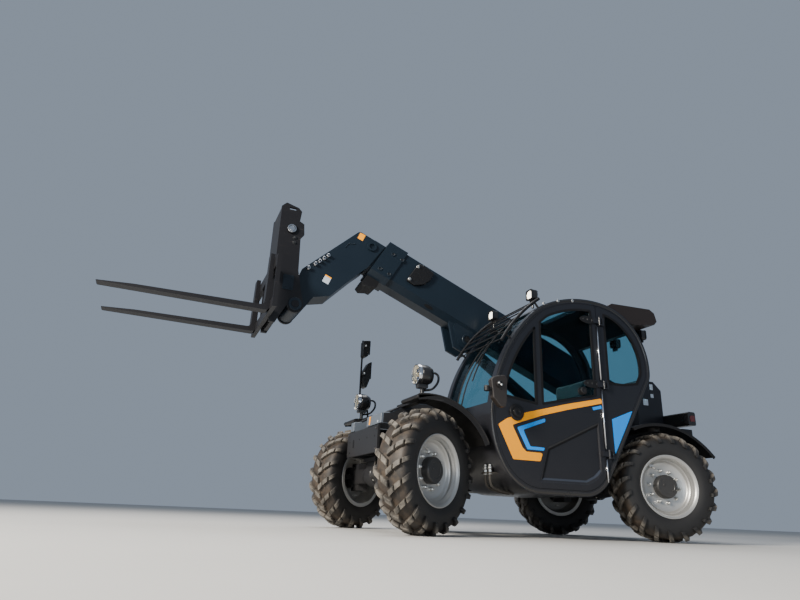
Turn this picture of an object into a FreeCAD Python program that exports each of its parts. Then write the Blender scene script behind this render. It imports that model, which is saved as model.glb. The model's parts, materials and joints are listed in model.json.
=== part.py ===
import FreeCAD, Part
import math
import os
import Sketcher

# A compact electric telehandler: X points to the forks, Y to the cab's side, Z up.
# Lengths are millimetres, angles degrees. The origin is on the ground, midway along the machine.

SIZES = {
    # Running gear
    "front_axle_x": 300,
    "wheelbase": 2218,
    "kingpin_y": 700,
    "wheel_offset": 60,
    "front_steer": 28,
    "rear_steer": 15,
    "tyre_radius": 433,
    "axle_height": 433,
    "tyre_half_width": 136,
    "lug_height": 24,
    "lug_width": 46,
    "lug_slant": 88,
    "lug_count": 20,
    "shoulder_cut": 56,
    "sidewall_rise": 115,
    "bead_step": 4.5,
    "bead_radius": 229,
    "flange_radius": 252,
    "rim_half_width": 125,
    "rim_wall": 7,
    "disc_out": 20,
    "disc_thick": 12,
    "disc_flat_radius": 166,
    "hub_radius": 96,
    "hub_depth": 74,
    "beam_height": 120,
    "beam_depth": 110,
    "housing_radius": 100,
    "knuckle_radius": 74,
    "knuckle_half_height": 84,
    "yoke_plate": 30,
    "kingpin_radius": 20,
    "run_gap": 0.3,
    "swing_gap": 3,
    # Frame
    "boom_y": -125,
    "frame_half_gap": 150,
    "frame_plate": 20,
    "frame_low_z": 340,
    "frame_axle_z": 540,
    "frame_deck_z": 700,
    "frame_nose_z": 790,
    "nose_ahead": 190,
    "nose_half_width": 375,
    "nose_low_z": 575,
    "nose_plate": 20,
    "belly_plate": 12,
    "tail_behind": 500,
    "counterweight_half_width": 560,
    "counterweight_low_z": 430,
    "counterweight_top_z": 980,
    "counterweight_depth": 150,
    # Boom
    "boom_pivot_back": 341,
    "boom_pivot_z": 1250,
    "boom_angle": 22,
    "boom_half_height": 185,
    "boom_half_width": 125,
    "boom_wall": 10,
    "boom_chamfer": 55,
    "boom_length": 2690,
    "boom_tail": 110,
    "collar_length": 200,
    "collar_wall": 14,
    "inner_half_height": 150,
    "inner_half_width": 100,
    "inner_wall": 9,
    "inner_start": 260,
    "pad_gap": 0.5,
    "pivot_pin_radius": 35,
    "pivot_boss_radius": 75,
    "neck_plate": 20,
    "tilt_pivot_along": 3380,
    "tilt_pivot_drop": 830,
    "tilt_pin_radius": 30,
    "tilt_boss_radius": 66,
    # Lift cylinder
    "lift_base_ahead": -41,
    "lift_base_z": 720,
    "lift_lug_along": 1819,
    "lift_lug_drop": 248,
    "lug_half_gap": 64,
    "barrel_radius": 58,
    "rod_radius": 34,
    "eye_radius": 52,
    "eye_half_width": 32,
    "eye_play": 3,
    "lift_pin_radius": 25,
    "lift_barrel_length": 1360,
    "lift_stem_start": 700,
    # Tilt cylinder
    "tilt_base_along": 3022,
    "tilt_base_up": 60,
    "lever_ahead": 60,
    "lever_up": 250,
    "tilt_barrel_radius": 45,
    "tilt_rod_radius": 24,
    "tilt_eye_radius": 38,
    "tilt_eye_half_width": 46,
    "tilt_barrel_length": 600,
    "tilt_stem_start": 240,
    # Carriage and forks
    "carriage_half_width": 165,
    "carriage_plate": 25,
    "carriage_height": 915,
    "carriage_depth": 190,
    "fork_length": 1200,
    "fork_width": 100,
    "fork_thick": 40,
    "fork_spacing": 560,
    "fork_drop": 110,
    "frame_bar_half_width": 500,
    # Cab
    "cab_left_y": 870,
    "cab_right_y": 70,
    "cab_wall": 40,
    "cab_low_z": 312,
    "pillar_back": 1571,
    "door_gap": 6,
    "hinge_out": 15,
    "door_thick": 34,
    "recess_depth": 14,
    "window_inset": 95,
    "glass_thick": 6,
    # Bodywork
    "fender_radius": 525,
    "fender_skin": 8,
    "fender_lip": 40,
    "fender_outer_y": 880,
    "fender_inner_y": 570,
    "rear_fender_radius": 817,
    "cover_top_z": 880,
    "side_box_outer_y": 860,
    "side_box_top_z": 820,
    "hood_top_z": 1110,
    "hood_wall": 12,
}


class Size:
    """A length or an angle: its number, and the expression that a property is bound to."""

    def __init__(self, value, text):
        self.value = float(value)
        self.text = text

    def __add__(self, other):
        other = as_size(other)
        return Size(self.value + other.value, f"({self.text} + {other.text})")

    def __radd__(self, other):
        return as_size(other) + self

    def __sub__(self, other):
        other = as_size(other)
        return Size(self.value - other.value, f"({self.text} - {other.text})")

    def __rsub__(self, other):
        return as_size(other) - self

    def __mul__(self, other):
        other = as_size(other)
        return Size(self.value * other.value, f"({self.text} * {other.text})")

    def __rmul__(self, other):
        return as_size(other) * self

    def __truediv__(self, other):
        other = as_size(other)
        return Size(self.value / other.value, f"({self.text} / {other.text})")

    def __neg__(self):
        return Size(-self.value, f"(-1 * {self.text})")


def as_size(number):
    if isinstance(number, Size):
        return number
    return Size(number, f"({float(number)})")


def sine(angle):
    return Size(math.sin(math.radians(angle.value)), f"sin({angle.text})")


def cosine(angle):
    return Size(math.cos(math.radians(angle.value)), f"cos({angle.text})")


def root(square):
    return Size(math.sqrt(square.value), f"sqrt({square.text})")


def heading(rise, run):
    """The angle whose tangent is rise over run."""
    angle = math.degrees(math.atan(rise.value / run.value))
    return Size(angle, f"(atan({rise.text} / {run.text}) / (1 deg))")


doc = FreeCAD.newDocument("telehandler")
sheet = doc.addObject("Spreadsheet::Sheet", "Sizes")
for row, (word, number) in enumerate(SIZES.items(), start=1):
    sheet.set(f"A{row}", word)
    sheet.set(f"B{row}", str(number))
    sheet.setAlias(f"B{row}", word)
doc.recompute()

D = {word: Size(number, f"Sizes.{word}") for word, number in SIZES.items()}
V = FreeCAD.Vector
PARTS = []


# Helpers that bind every size to the sheet

def bind(thing, prop, size):
    thing.setExpression(prop, as_size(size).text)


def place(thing, x=0, y=0, z=0, axis=None, angle=0):
    """Put a shape at x, y, z, turned about an axis through its own origin."""
    if axis is not None:
        thing.Placement = FreeCAD.Placement(V(0, 0, 0), FreeCAD.Rotation(V(*axis), 10))
        bind(thing, "Placement.Rotation.Angle", angle)
    for letter, size in zip("xyz", (x, y, z)):
        bind(thing, f"Placement.Base.{letter}", size)
    return thing


def box(x0, x1, y0, y1, z0, z1):
    """A block between two corners."""
    solid = doc.addObject("Part::Box", "block")
    bind(solid, "Length", as_size(x1) - x0)
    bind(solid, "Width", as_size(y1) - y0)
    bind(solid, "Height", as_size(z1) - z0)
    return place(solid, x0, y0, z0)


TURNS = {"x": ((0, 1, 0), 90), "y": ((1, 0, 0), -90), "z": ((0, 0, 1), 0)}


def rod(radius, x, y, z, length, along="y"):
    """A cylinder from x, y, z along one axis."""
    solid = doc.addObject("Part::Cylinder", "round")
    bind(solid, "Radius", radius)
    bind(solid, "Height", length)
    axis, angle = TURNS[along]
    solid.Placement = FreeCAD.Placement(V(0, 0, 0), FreeCAD.Rotation(V(*axis), angle))
    for letter, size in zip("xyz", (x, y, z)):
        bind(solid, f"Placement.Base.{letter}", size)
    return solid


def cone(radius_start, radius_end, x, y, z, length, along="y"):
    solid = doc.addObject("Part::Cone", "taper")
    bind(solid, "Radius1", radius_start)
    bind(solid, "Radius2", radius_end)
    bind(solid, "Height", length)
    axis, angle = TURNS[along]
    solid.Placement = FreeCAD.Placement(V(0, 0, 0), FreeCAD.Rotation(V(*axis), angle))
    for letter, size in zip("xyz", (x, y, z)):
        bind(solid, f"Placement.Base.{letter}", size)
    return solid


PLANES = {"side": ((1, 0, 0), 90), "plan": ((0, 0, 1), 0), "front": ((1, 1, 1), 120)}
NORMALS = {"side": V(0, 1, 0), "plan": V(0, 0, 1), "front": V(1, 0, 0)}


def outline(points, plane="side"):
    """A closed sketch through points (across, up) or (across, up, radius).

    A radius bends the edge that ends at the point: to the left where it is above zero."""
    sketch = doc.addObject("Sketcher::SketchObject", "outline")
    axis, angle = PLANES[plane]
    sketch.Placement = FreeCAD.Placement(V(0, 0, 0), FreeCAD.Rotation(V(*axis), angle))
    count = len(points)
    places = [(as_size(p[0]), as_size(p[1])) for p in points]
    bends = [as_size(p[2]) if len(p) > 2 else None for p in points]
    ends = []
    for i in range(count):
        j = (i + 1) % count
        start = V(places[i][0].value, places[i][1].value, 0)
        end = V(places[j][0].value, places[j][1].value, 0)
        if bends[j] is None:
            sketch.addGeometry(Part.LineSegment(start, end), False)
            ends.append((1, 2))
            continue
        radius = bends[j].value
        chord = end - start
        left = V(-chord.y, chord.x, 0).normalize()
        sagitta = math.sqrt(radius * radius - chord.Length ** 2 / 4)
        middle = start + chord * 0.5 + left * math.copysign(sagitta, radius)
        angles = [math.atan2(p.y - middle.y, p.x - middle.x) for p in (start, end)]
        if radius < 0:
            angles.reverse()
        circle = Part.Circle(middle, V(0, 0, 1), abs(radius))
        sketch.addGeometry(Part.ArcOfCircle(circle, angles[0], angles[1]), False)
        ends.append((1, 2) if radius > 0 else (2, 1))
    for i in range(count):
        j = (i + 1) % count
        sketch.addConstraint(Sketcher.Constraint("Coincident", i, ends[i][1], j, ends[j][0]))
    for i in range(count):
        for kind, size in (("DistanceX", places[i][0]), ("DistanceY", places[i][1])):
            number = sketch.addConstraint(Sketcher.Constraint(kind, i, ends[i][0], size.value))
            sketch.setExpression(f"Constraints[{number}]", size.text)
        j = (i + 1) % count
        if bends[j] is not None:
            number = sketch.addConstraint(Sketcher.Constraint("Radius", i, abs(bends[j].value)))
            text = bends[j].text if bends[j].value > 0 else (-bends[j]).text
            sketch.setExpression(f"Constraints[{number}]", text)
    return sketch


def prism(profile, start, end, plane="side"):
    """An outline drawn out square to its plane, from start to end."""
    solid = doc.addObject("Part::Extrusion", "prism")
    solid.Base = profile
    solid.DirMode = "Custom"
    solid.Dir = NORMALS[plane]
    solid.Solid = True
    bind(solid, "LengthFwd", end)
    bind(solid, "LengthRev", -as_size(start))
    return solid


def slab(points, start, end, plane="side"):
    return prism(outline(points, plane), start, end, plane)


def spun(points):
    """A profile of (radius, along Y) points turned about the Y axis."""
    solid = doc.addObject("Part::Revolution", "turned")
    solid.Source = outline(points, "plan")
    solid.Axis = V(0, 1, 0)
    solid.Base = V(0, 0, 0)
    solid.Angle = 360
    solid.Solid = True
    return solid


def join(*solids):
    """One solid out of several that meet, or a set of solids that do not."""
    if len(solids) == 1:
        return solids[0]
    union = doc.addObject("Part::MultiFuse", "union")
    union.Shapes = list(solids)
    union.Refine = True
    return union


def group(*solids):
    """Solids of one node that stand apart."""
    several = doc.addObject("Part::Compound", "group")
    several.Links = list(solids)
    return several


def cut(base, *tools):
    tool = join(*tools)
    rest = doc.addObject("Part::Cut", "cut")
    rest.Base = base
    rest.Tool = tool
    rest.Refine = True
    return rest


def common(*solids):
    shared = doc.addObject("Part::MultiCommon", "shared")
    shared.Shapes = list(solids)
    return shared


def span(side, near, far):
    """Two distances from the middle as low and high Y, on the left for side 1 and the right for -1."""
    return (near, far) if side > 0 else (-as_size(far), -as_size(near))


def part(label, solid):
    solid.Label = label
    PARTS.append(solid)
    return solid


def rounded(solid, radius, wanted):
    """Round the straight edges that lie along one axis, picked by a test on the edge."""
    doc.recompute()
    fillet = doc.addObject("Part::Fillet", "rounded")
    fillet.Base = solid
    edges = [i for i, edge in enumerate(solid.Shape.Edges, start=1) if wanted(edge)]
    fillet.Edges = [(i, as_size(radius).value, as_size(radius).value) for i in edges]
    return fillet


def runs_along(axis):
    direction = {"x": V(1, 0, 0), "y": V(0, 1, 0), "z": V(0, 0, 1)}[axis]

    def test(edge):
        if edge.Curve.TypeId != "Part::GeomLine":
            return False
        return abs(abs(edge.tangentAt(edge.FirstParameter).dot(direction)) - 1) < 1e-6

    return test


# Stations that most sub-parts share
front_x = D["front_axle_x"]
rear_x = front_x - D["wheelbase"]
axle_z = D["axle_height"]
boom_y = D["boom_y"]
pivot_x = rear_x - D["boom_pivot_back"]
pivot_z = D["boom_pivot_z"]
boom_a = D["boom_angle"]


def boom_point(along, up):
    """Where a point of the boom's own frame lies in the machine's frame."""
    x = pivot_x + as_size(along) * cosine(boom_a) - as_size(up) * sine(boom_a)
    z = pivot_z + as_size(along) * sine(boom_a) + as_size(up) * cosine(boom_a)
    return x, z


def on_boom(solid):
    """Carry a solid drawn in the boom's frame to its place: raised by the boom's angle."""
    return place(group(solid), pivot_x, 0, pivot_z, (0, 1, 0), -boom_a)


# Wheels

def rim():
    """The rim and disc as one turned profile, outboard along +Y."""
    wall = D["rim_wall"]
    half = D["rim_half_width"]
    bead = D["bead_radius"]
    flat = D["disc_flat_radius"]
    disc = D["disc_out"]
    well = bead - 24
    return spun([
        (bead - wall, -half),
        (D["flange_radius"], -half),
        (D["flange_radius"], -half + wall),
        (bead, -half + wall + 4),
        (bead - 2, -half + 44),
        (well, -half + 66),
        (well, half - 92),
        (bead - 2, half - 60),
        (bead, half - wall - 4),
        (D["flange_radius"], half - wall),
        (D["flange_radius"], half),
        (bead - wall, half),
        (bead - wall - 2, half - 56),
        (well - wall, half - 78),
        (flat + 10, disc + D["disc_thick"] + 6),
        (flat, disc + D["disc_thick"]),
        (D["hub_radius"] - 30, disc + D["disc_thick"]),
        (D["hub_radius"] - 30, disc),
        (flat, disc),
        (well - wall, disc - 8),
        (well - wall, -half + 62),
        (bead - wall - 2, -half + 40),
    ])


def hub():
    """The final drive: a drum through the disc, its cap outboard."""
    disc = D["disc_out"]
    front = disc + D["disc_thick"]
    radius = D["hub_radius"]
    taper = 10
    return join(
        rod(radius - 22, 0, disc, 0, D["disc_thick"]),
        rod(radius, 0, front, 0, D["hub_depth"] - D["disc_thick"] - taper),
        cone(radius, radius - taper, 0, disc + D["hub_depth"] - taper, 0, taper),
    )


def round_bar(radius, length):
    """A many-sided bar about the Y axis with one flat side to each lug, its flats at the radius."""
    sides = D["lug_count"]
    bar = doc.addObject("Part::Prism", "bar")
    bind(bar, "Polygon", sides)
    bind(bar, "Circumradius", radius / cosine(as_size(180) / sides))
    bind(bar, "Height", length)
    bar.Placement = FreeCAD.Placement(V(0, 0, 0), FreeCAD.Rotation(V(1, 0, 0), -90))
    bind(bar, "Placement.Base.y", -length / 2)
    return bar


def carcass():
    """The tyre without lugs: a ring whose corners are cut to shoulders outside and to beads inside."""
    half = D["tyre_half_width"]
    bead = D["bead_radius"] + D["run_gap"]
    shoulder = D["shoulder_cut"].value
    bead_out = D["rim_half_width"] - D["rim_wall"] - D["bead_step"]
    ring = cut(round_bar(D["tyre_radius"] - D["lug_height"], half * 2), round_bar(bead, half * 2 + 20))
    doc.recompute()
    edges = []
    for i, edge in enumerate(ring.Shape.Edges, start=1):
        middle = edge.CenterOfMass
        if abs(abs(middle.y) - half.value) > 0.1:
            continue
        if math.hypot(middle.x, middle.z) > D["flange_radius"].value:
            edges.append((i, shoulder, shoulder))
        else:
            edges.append((i, D["sidewall_rise"].value, (half - bead_out).value))
    solid = doc.addObject("Part::Chamfer", "carcass")
    solid.Base = ring
    solid.Edges = edges
    return solid


def lug(side, lean):
    """One slanted lug at the top of the wheel, from the middle of the tread out to one shoulder,
    its outer end leaning in towards the top."""
    edge = D["tyre_half_width"] * side
    across = D["lug_width"] / 2
    run = D["lug_slant"] / 2 * lean
    inner = -6 * side
    low = D["tyre_radius"] - D["lug_height"] - D["shoulder_cut"]
    reach = D["lug_slant"] / 2 + across
    high = root(D["tyre_radius"] * D["tyre_radius"] - reach * reach)
    bar = slab([(-run - across, inner), (-run + across, inner), (run + across, edge), (run - across, edge)],
               low, high, "plan")
    return common(bar, slab([(inner, low), (edge, low), (edge - 24 * side, high), (inner, high)],
                            -reach - 10, reach + 10, "front"))


def tyre(lean):
    """Carcass with two rows of slanted lugs, half a pitch apart; lean points their outer ends."""
    pitch = as_size(360) / D["lug_count"]
    lugs = []
    for side in (1, -1):
        shaped = lug(side, lean)
        for i in range(SIZES["lug_count"]):
            shift = 0.5 if side < 0 else 0
            lugs.append(place(group(shaped), 0, 0, 0, (0, 1, 0), pitch * (i + shift)))
    solid = doc.addObject("Part::Fuse", "tyre")
    solid.Base = CARCASS
    solid.Tool = group(*lugs)
    return solid


CARCASS = carcass()
TYRES = {1: tyre(-1), -1: tyre(1)}
WHEEL = join(rim(), hub())


def wheel_set(name, axle_x, side, steer):
    """Wheel and tyre of one corner, on its steered spin axis."""
    angle = steer if side > 0 else steer + 180
    reach = D["wheel_offset"] * side
    x = axle_x - reach * sine(steer)
    y = D["kingpin_y"] * side + reach * cosine(steer)
    for kind, solid in (("wheel", WHEEL), ("tyre", TYRES[side])):
        part(f"{kind}_{name}", place(group(solid), x, y, axle_z, (0, 0, 1), angle))


def knuckle(name, axle_x, side, steer):
    """The swivel housing on its kingpin, with the spindle that points to the hub."""
    radius = D["knuckle_radius"]
    tall = D["knuckle_half_height"]
    pin = D["kingpin_radius"]
    reach = D["wheel_offset"] + D["disc_out"] - D["run_gap"]
    pin_half = tall + D["swing_gap"] + D["yoke_plate"]
    arm_start, arm_end = span(side, radius - 14, radius + 76)
    solid = join(
        rod(radius, 0, 0, -tall, tall * 2, "z"),
        rod(radius - 14, 0, 0, 0, reach),
        rod(pin, 0, 0, -pin_half, pin_half * 2, "z"),
        box(arm_start, arm_end, -25, 15, -20, 20),
    )
    angle = steer if side > 0 else steer + 180
    part(f"knuckle_{name}", place(group(solid), axle_x, D["kingpin_y"] * side, axle_z, (0, 0, 1), angle))


def axle(name, axle_x):
    """The beam between the kingpins, with its yokes and the round drive housing."""
    tall = D["knuckle_half_height"] + D["swing_gap"]
    top = tall + D["yoke_plate"]
    king = D["kingpin_y"]
    end = king - D["knuckle_radius"] - 8
    deep = D["beam_depth"] / 2
    high = D["beam_height"] / 2
    drum = D["housing_radius"]
    neck = drum - 25
    solids = [
        box(-deep, deep, -end, end, -high, high),
        rod(drum, 0, boom_y - 90, 0, 180),
        cone(drum - 10, neck, 0, boom_y + 90, 0, 120),
        cone(neck, drum - 10, 0, boom_y - 210, 0, 120),
        box(-70, 70, boom_y - 120, boom_y + 120, 0, D["frame_axle_z"] - axle_z),
    ]
    bores = []
    for side in (1, -1):
        for low in (tall, -top):
            solids.append(box(-45, 45, *span(side, end - 32, king), low, low + D["yoke_plate"]))
            solids.append(rod(45, 0, king * side, low, D["yoke_plate"], "z"))
        for low, up in ((high - 20, top), (-top, 20 - high)):
            solids.append(box(-45, 45, *span(side, end - 92, end), low, up))
        bores.append(rod(D["kingpin_radius"] + D["run_gap"], 0, king * side, -top - 10, top * 2 + 20, "z"))
    part(f"{name}_axle", place(group(cut(join(*solids), *bores)), axle_x, 0, axle_z))


CORNERS = (("front_left", front_x, 1, D["front_steer"]), ("front_right", front_x, -1, D["front_steer"]),
           ("rear_left", rear_x, 1, -D["rear_steer"]), ("rear_right", rear_x, -1, -D["rear_steer"]))
for corner in CORNERS:
    wheel_set(*corner)
    knuckle(*corner)
axle("front", front_x)
axle("rear", rear_x)


# Frame

frame_left = boom_y + D["frame_half_gap"]
frame_right = boom_y - D["frame_half_gap"]
plate = D["frame_plate"]
tail_x = rear_x - D["tail_behind"]
nose_x = front_x + D["nose_ahead"]
lift_base_x = rear_x + D["lift_base_ahead"]
lift_base_z = D["lift_base_z"]
box_front = front_x - 560
box_back = rear_x + 560
HOOD_HINGES = (box_back + 200, box_front - 400)
hood_hinge_y = frame_right - plate / 2
hood_hinge_z = D["hood_top_z"] - 5


def frame_side():
    """One side plate's outline: arched over both axles and raised at the tail to the boom's pivot."""
    low = D["frame_low_z"]
    over = D["frame_axle_z"]
    deck = D["frame_deck_z"]
    return outline([
        (front_x - 420, low),
        (front_x - 320, over),
        (nose_x, D["nose_low_z"]),
        (nose_x, D["frame_nose_z"]),
        (front_x - 120, D["frame_nose_z"]),
        (front_x - 300, deck),
        (rear_x + 640, deck),
        (rear_x + 60, pivot_z - 320),
        (pivot_x + 110, pivot_z + 60),
        (pivot_x - 110, pivot_z + 60, 118),
        (tail_x + 20, pivot_z - 320),
        (tail_x + 20, over - 60),
        (rear_x - 300, over),
        (rear_x + 320, over),
        (rear_x + 420, low),
    ])


def chassis_frame():
    side = frame_side()
    low = D["frame_low_z"]
    seat_z = D["frame_axle_z"]
    deck = D["frame_deck_z"]
    solids = [
        prism(side, frame_left, frame_left + plate),
        prism(side, frame_right - plate, frame_right),
        box(rear_x + 430, front_x - 430, frame_right, frame_left, low, low + D["belly_plate"]),
        box(nose_x, nose_x + D["nose_plate"], -D["nose_half_width"], D["nose_half_width"],
            D["nose_low_z"], D["frame_nose_z"] - 10),
        box(front_x - 90, front_x + 90, frame_right, frame_left, seat_z, seat_z + 30),
        box(rear_x - 90, rear_x + 90, frame_right, frame_left, seat_z, seat_z + 30),
        box(front_x - 590, front_x - 500, frame_left + plate, frame_left + plate + 205, 400, 480),
        rod(D["pivot_boss_radius"], pivot_x, frame_left, pivot_z, plate + 15),
        rod(D["pivot_boss_radius"], pivot_x, frame_right - plate - 15, pivot_z, plate + 15),
    ]
    # Ears for the lift cylinder's rod, on a cross plate behind them
    solids.append(box(lift_base_x - 170, lift_base_x - 140, frame_right, frame_left, 560, 800))
    for side_y in (boom_y + 40, boom_y - 60):
        solids.append(box(lift_base_x - 140, lift_base_x, side_y, side_y + 20,
                          lift_base_z - 50, lift_base_z + 50))
        solids.append(rod(50, lift_base_x, side_y, lift_base_z, 20))
    for side_y in (boom_y + 60, boom_y - 74):
        solids.append(rod(D["lift_pin_radius"], lift_base_x, side_y, lift_base_z, 14))
    for mount_x in (rear_x + 700, front_x - 700):
        solids.append(box(mount_x - 60, mount_x + 60, frame_left + plate, D["cab_right_y"], 420, 520))
    # Posts with the hinge pins of the side hood
    for hinge_x in HOOD_HINGES:
        solids.append(box(hinge_x - 36, hinge_x + 36, hood_hinge_y - 8, hood_hinge_y + 8,
                          deck - 10, hood_hinge_z - 25))
        for ear_x in (hinge_x - 36, hinge_x + 24):
            solids.append(box(ear_x, ear_x + 12, hood_hinge_y - 8, hood_hinge_y + 8,
                              hood_hinge_z - 30, hood_hinge_z + 8))
        solids.append(rod(5, hinge_x - 30, hood_hinge_y, hood_hinge_z, 60, "x"))
    pin_bore = rod(D["pivot_pin_radius"] + D["run_gap"], pivot_x, frame_right - 60, pivot_z, 420)
    part("chassis_frame", cut(join(*solids), pin_bore))


def counterweight():
    half = D["counterweight_half_width"]
    low = D["counterweight_low_z"]
    top = D["counterweight_top_z"]
    back = tail_x - D["counterweight_depth"]
    block = box(back, tail_x, -half, half, low, top)
    tongue = box(tail_x, tail_x + 20, frame_right - plate, frame_left + plate, low + 40, top - 60)
    solid = rounded(block, 45, lambda edge: runs_along("z")(edge) and edge.CenterOfMass.x < back.value + 50)
    part("counterweight", join(solid, tongue))
    hitch_z = low + 130
    jaw = cut(
        join(box(back - 110, back, -60, 60, hitch_z - 55, hitch_z + 55),
             box(back - 12, back, -95, 95, hitch_z - 95, hitch_z + 95)),
        box(back - 120, back - 20, -70, 70, hitch_z - 28, hitch_z + 28),
        rod(16, back - 70, 0, hitch_z - 80, 160, "z"),
    )
    part("tow_hitch", jaw)


# Boom

def boom_section(half_width, half_height, chamfer):
    """The box section of a boom stage: square at the top, its lower corners bent in."""
    return outline([
        (boom_y - half_width, -half_height + chamfer),
        (boom_y - half_width + chamfer, -half_height),
        (boom_y + half_width - chamfer, -half_height),
        (boom_y + half_width, -half_height + chamfer),
        (boom_y + half_width, half_height),
        (boom_y - half_width, half_height),
    ], "front")


def boom_outer():
    high = D["boom_half_height"]
    wide = D["boom_half_width"]
    wall = D["boom_wall"]
    bent = D["boom_chamfer"]
    end = D["boom_length"]
    collar_end = end + D["collar_length"]
    lean = 60
    tube = prism(boom_section(wide, high, bent), -D["boom_tail"], end + lean * 2, "front")
    hollow = prism(boom_section(wide - wall, high - wall, bent - wall * 0.42),
                   D["pivot_boss_radius"] + 30, collar_end + 100, "front")
    sleeve = prism(boom_section(wide + D["collar_wall"], high + D["collar_wall"], bent),
                   end - lean, collar_end + lean * 2, "front")
    leaning = slab([(end, high + 30), (end + lean, -high - 30), (collar_end + lean, -high - 30),
                    (collar_end, high + 30)], boom_y - wide - 30, boom_y + wide + 30)
    taper = slab([(-D["boom_tail"] - 10, -high - 10), (140, -high - 10), (-D["boom_tail"] - 10, -60)],
                 boom_y - wide - 10, boom_y + wide + 10)
    boss = rod(D["pivot_boss_radius"], 0, frame_right + 5, 0, D["frame_half_gap"] * 2 - 10)
    pin = rod(D["pivot_pin_radius"], 0, frame_right - plate - 30, 0, (D["frame_half_gap"] + plate + 30) * 2)
    lug_x = D["lift_lug_along"]
    lug_z = -D["lift_lug_drop"]
    ears = []
    ear_y = D["lug_half_gap"]
    for side_y in (boom_y + ear_y, boom_y - ear_y - 25):
        ears.append(slab([(lug_x - 260, -high + 25), (lug_x - 100, lug_z - 40), (lug_x - 30, lug_z - 130),
                          (lug_x + 90, lug_z - 130), (lug_x + 240, -high + 25)], side_y, side_y + 25))
    lug_pin = rod(D["lift_pin_radius"], lug_x, boom_y - ear_y - 37, lug_z, (ear_y + 37) * 2)
    solid = cut(join(tube, common(sleeve, leaning), boss, *ears), hollow, taper)
    part("boom_outer", on_boom(join(solid, pin, lug_pin)))


def boom_pads():
    """Wear pads in the collar, that the inner boom slides on."""
    gap = D["pad_gap"]
    high = D["boom_half_height"] - D["boom_wall"]
    wide = D["boom_half_width"] - D["boom_wall"]
    start = D["boom_length"] + 70
    end = start + 110
    inner_high = D["inner_half_height"] + gap
    inner_wide = D["inner_half_width"] + gap
    pads = [
        box(start, end, boom_y - 70, boom_y + 70, inner_high, high),
        box(start, end, boom_y - 40, boom_y + 40, -high, -inner_high),
        box(start, end, boom_y + inner_wide, boom_y + wide, -60, 90),
        box(start, end, boom_y - wide, boom_y - inner_wide, -60, 90),
    ]
    part("boom_wear_pads", on_boom(group(*pads)))


def boom_inner():
    """The sliding stage, with the gooseneck that drops to the carriage's tilt pin."""
    high = D["inner_half_height"]
    wide = D["inner_half_width"]
    wall = D["inner_wall"]
    neck = D["boom_length"] + D["collar_length"] + 20
    tube = prism(boom_section(wide, high, 40), D["inner_start"], neck + 110, "front")
    hollow = prism(boom_section(wide - wall, high - wall, 36), D["inner_start"] - 10, neck + 120, "front")
    pivot_a = D["tilt_pivot_along"]
    pivot_d = -D["tilt_pivot_drop"]
    side = outline([
        (neck, 135),
        (neck + 60, -150),
        (neck + 115, -268),
        (neck + 240, -579),
        (neck + 360, -663),
        (pivot_a - 74, pivot_d),
        (pivot_a + 74, pivot_d, 75),
        (neck + 560, -486),
        (neck + 290, 105),
        (neck + 250, 135, 42),
    ])
    solids = [cut(tube, hollow)]
    for side_y in (boom_y + wide, boom_y - wide - D["neck_plate"]):
        solids.append(prism(side, side_y, side_y + D["neck_plate"]))
    solids.append(slab([
        (neck + 105, 121), (neck + 105, 135), (neck + 250, 135), (neck + 290, 105, -42),
        (neck + 466, -280), (neck + 453, -286), (neck + 277, 99), (neck + 246, 121)],
        boom_y - wide, boom_y + wide))
    solids.append(slab([
        (neck + 60, -150), (neck + 115, -268), (neck + 240, -579), (neck + 360, -663),
        (neck + 364, -646), (neck + 251, -568), (neck + 128, -262), (neck + 73, -144)],
        boom_y - wide, boom_y + wide))
    reach = D["carriage_half_width"] - 5
    solids.append(rod(D["tilt_boss_radius"], pivot_a, boom_y - reach, pivot_d, reach * 2))
    base_a = D["tilt_base_along"]
    base_up = D["tilt_base_up"]
    outside = wide + D["neck_plate"]
    solids.append(rod(24, base_a, boom_y - outside, base_up, outside * 2))
    for side_y in (boom_y + outside, boom_y - outside - 16):
        solids.append(cut(rod(44, base_a, side_y, base_up, 16), rod(27, base_a, side_y - 1, base_up, 18)))
    bore = rod(D["tilt_pin_radius"] + D["run_gap"], pivot_a, boom_y - reach - 10, pivot_d, reach * 2 + 20)
    part("boom_inner", on_boom(cut(join(*solids), bore)))


tilt_x, tilt_z = boom_point(D["tilt_pivot_along"], -D["tilt_pivot_drop"])


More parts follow.
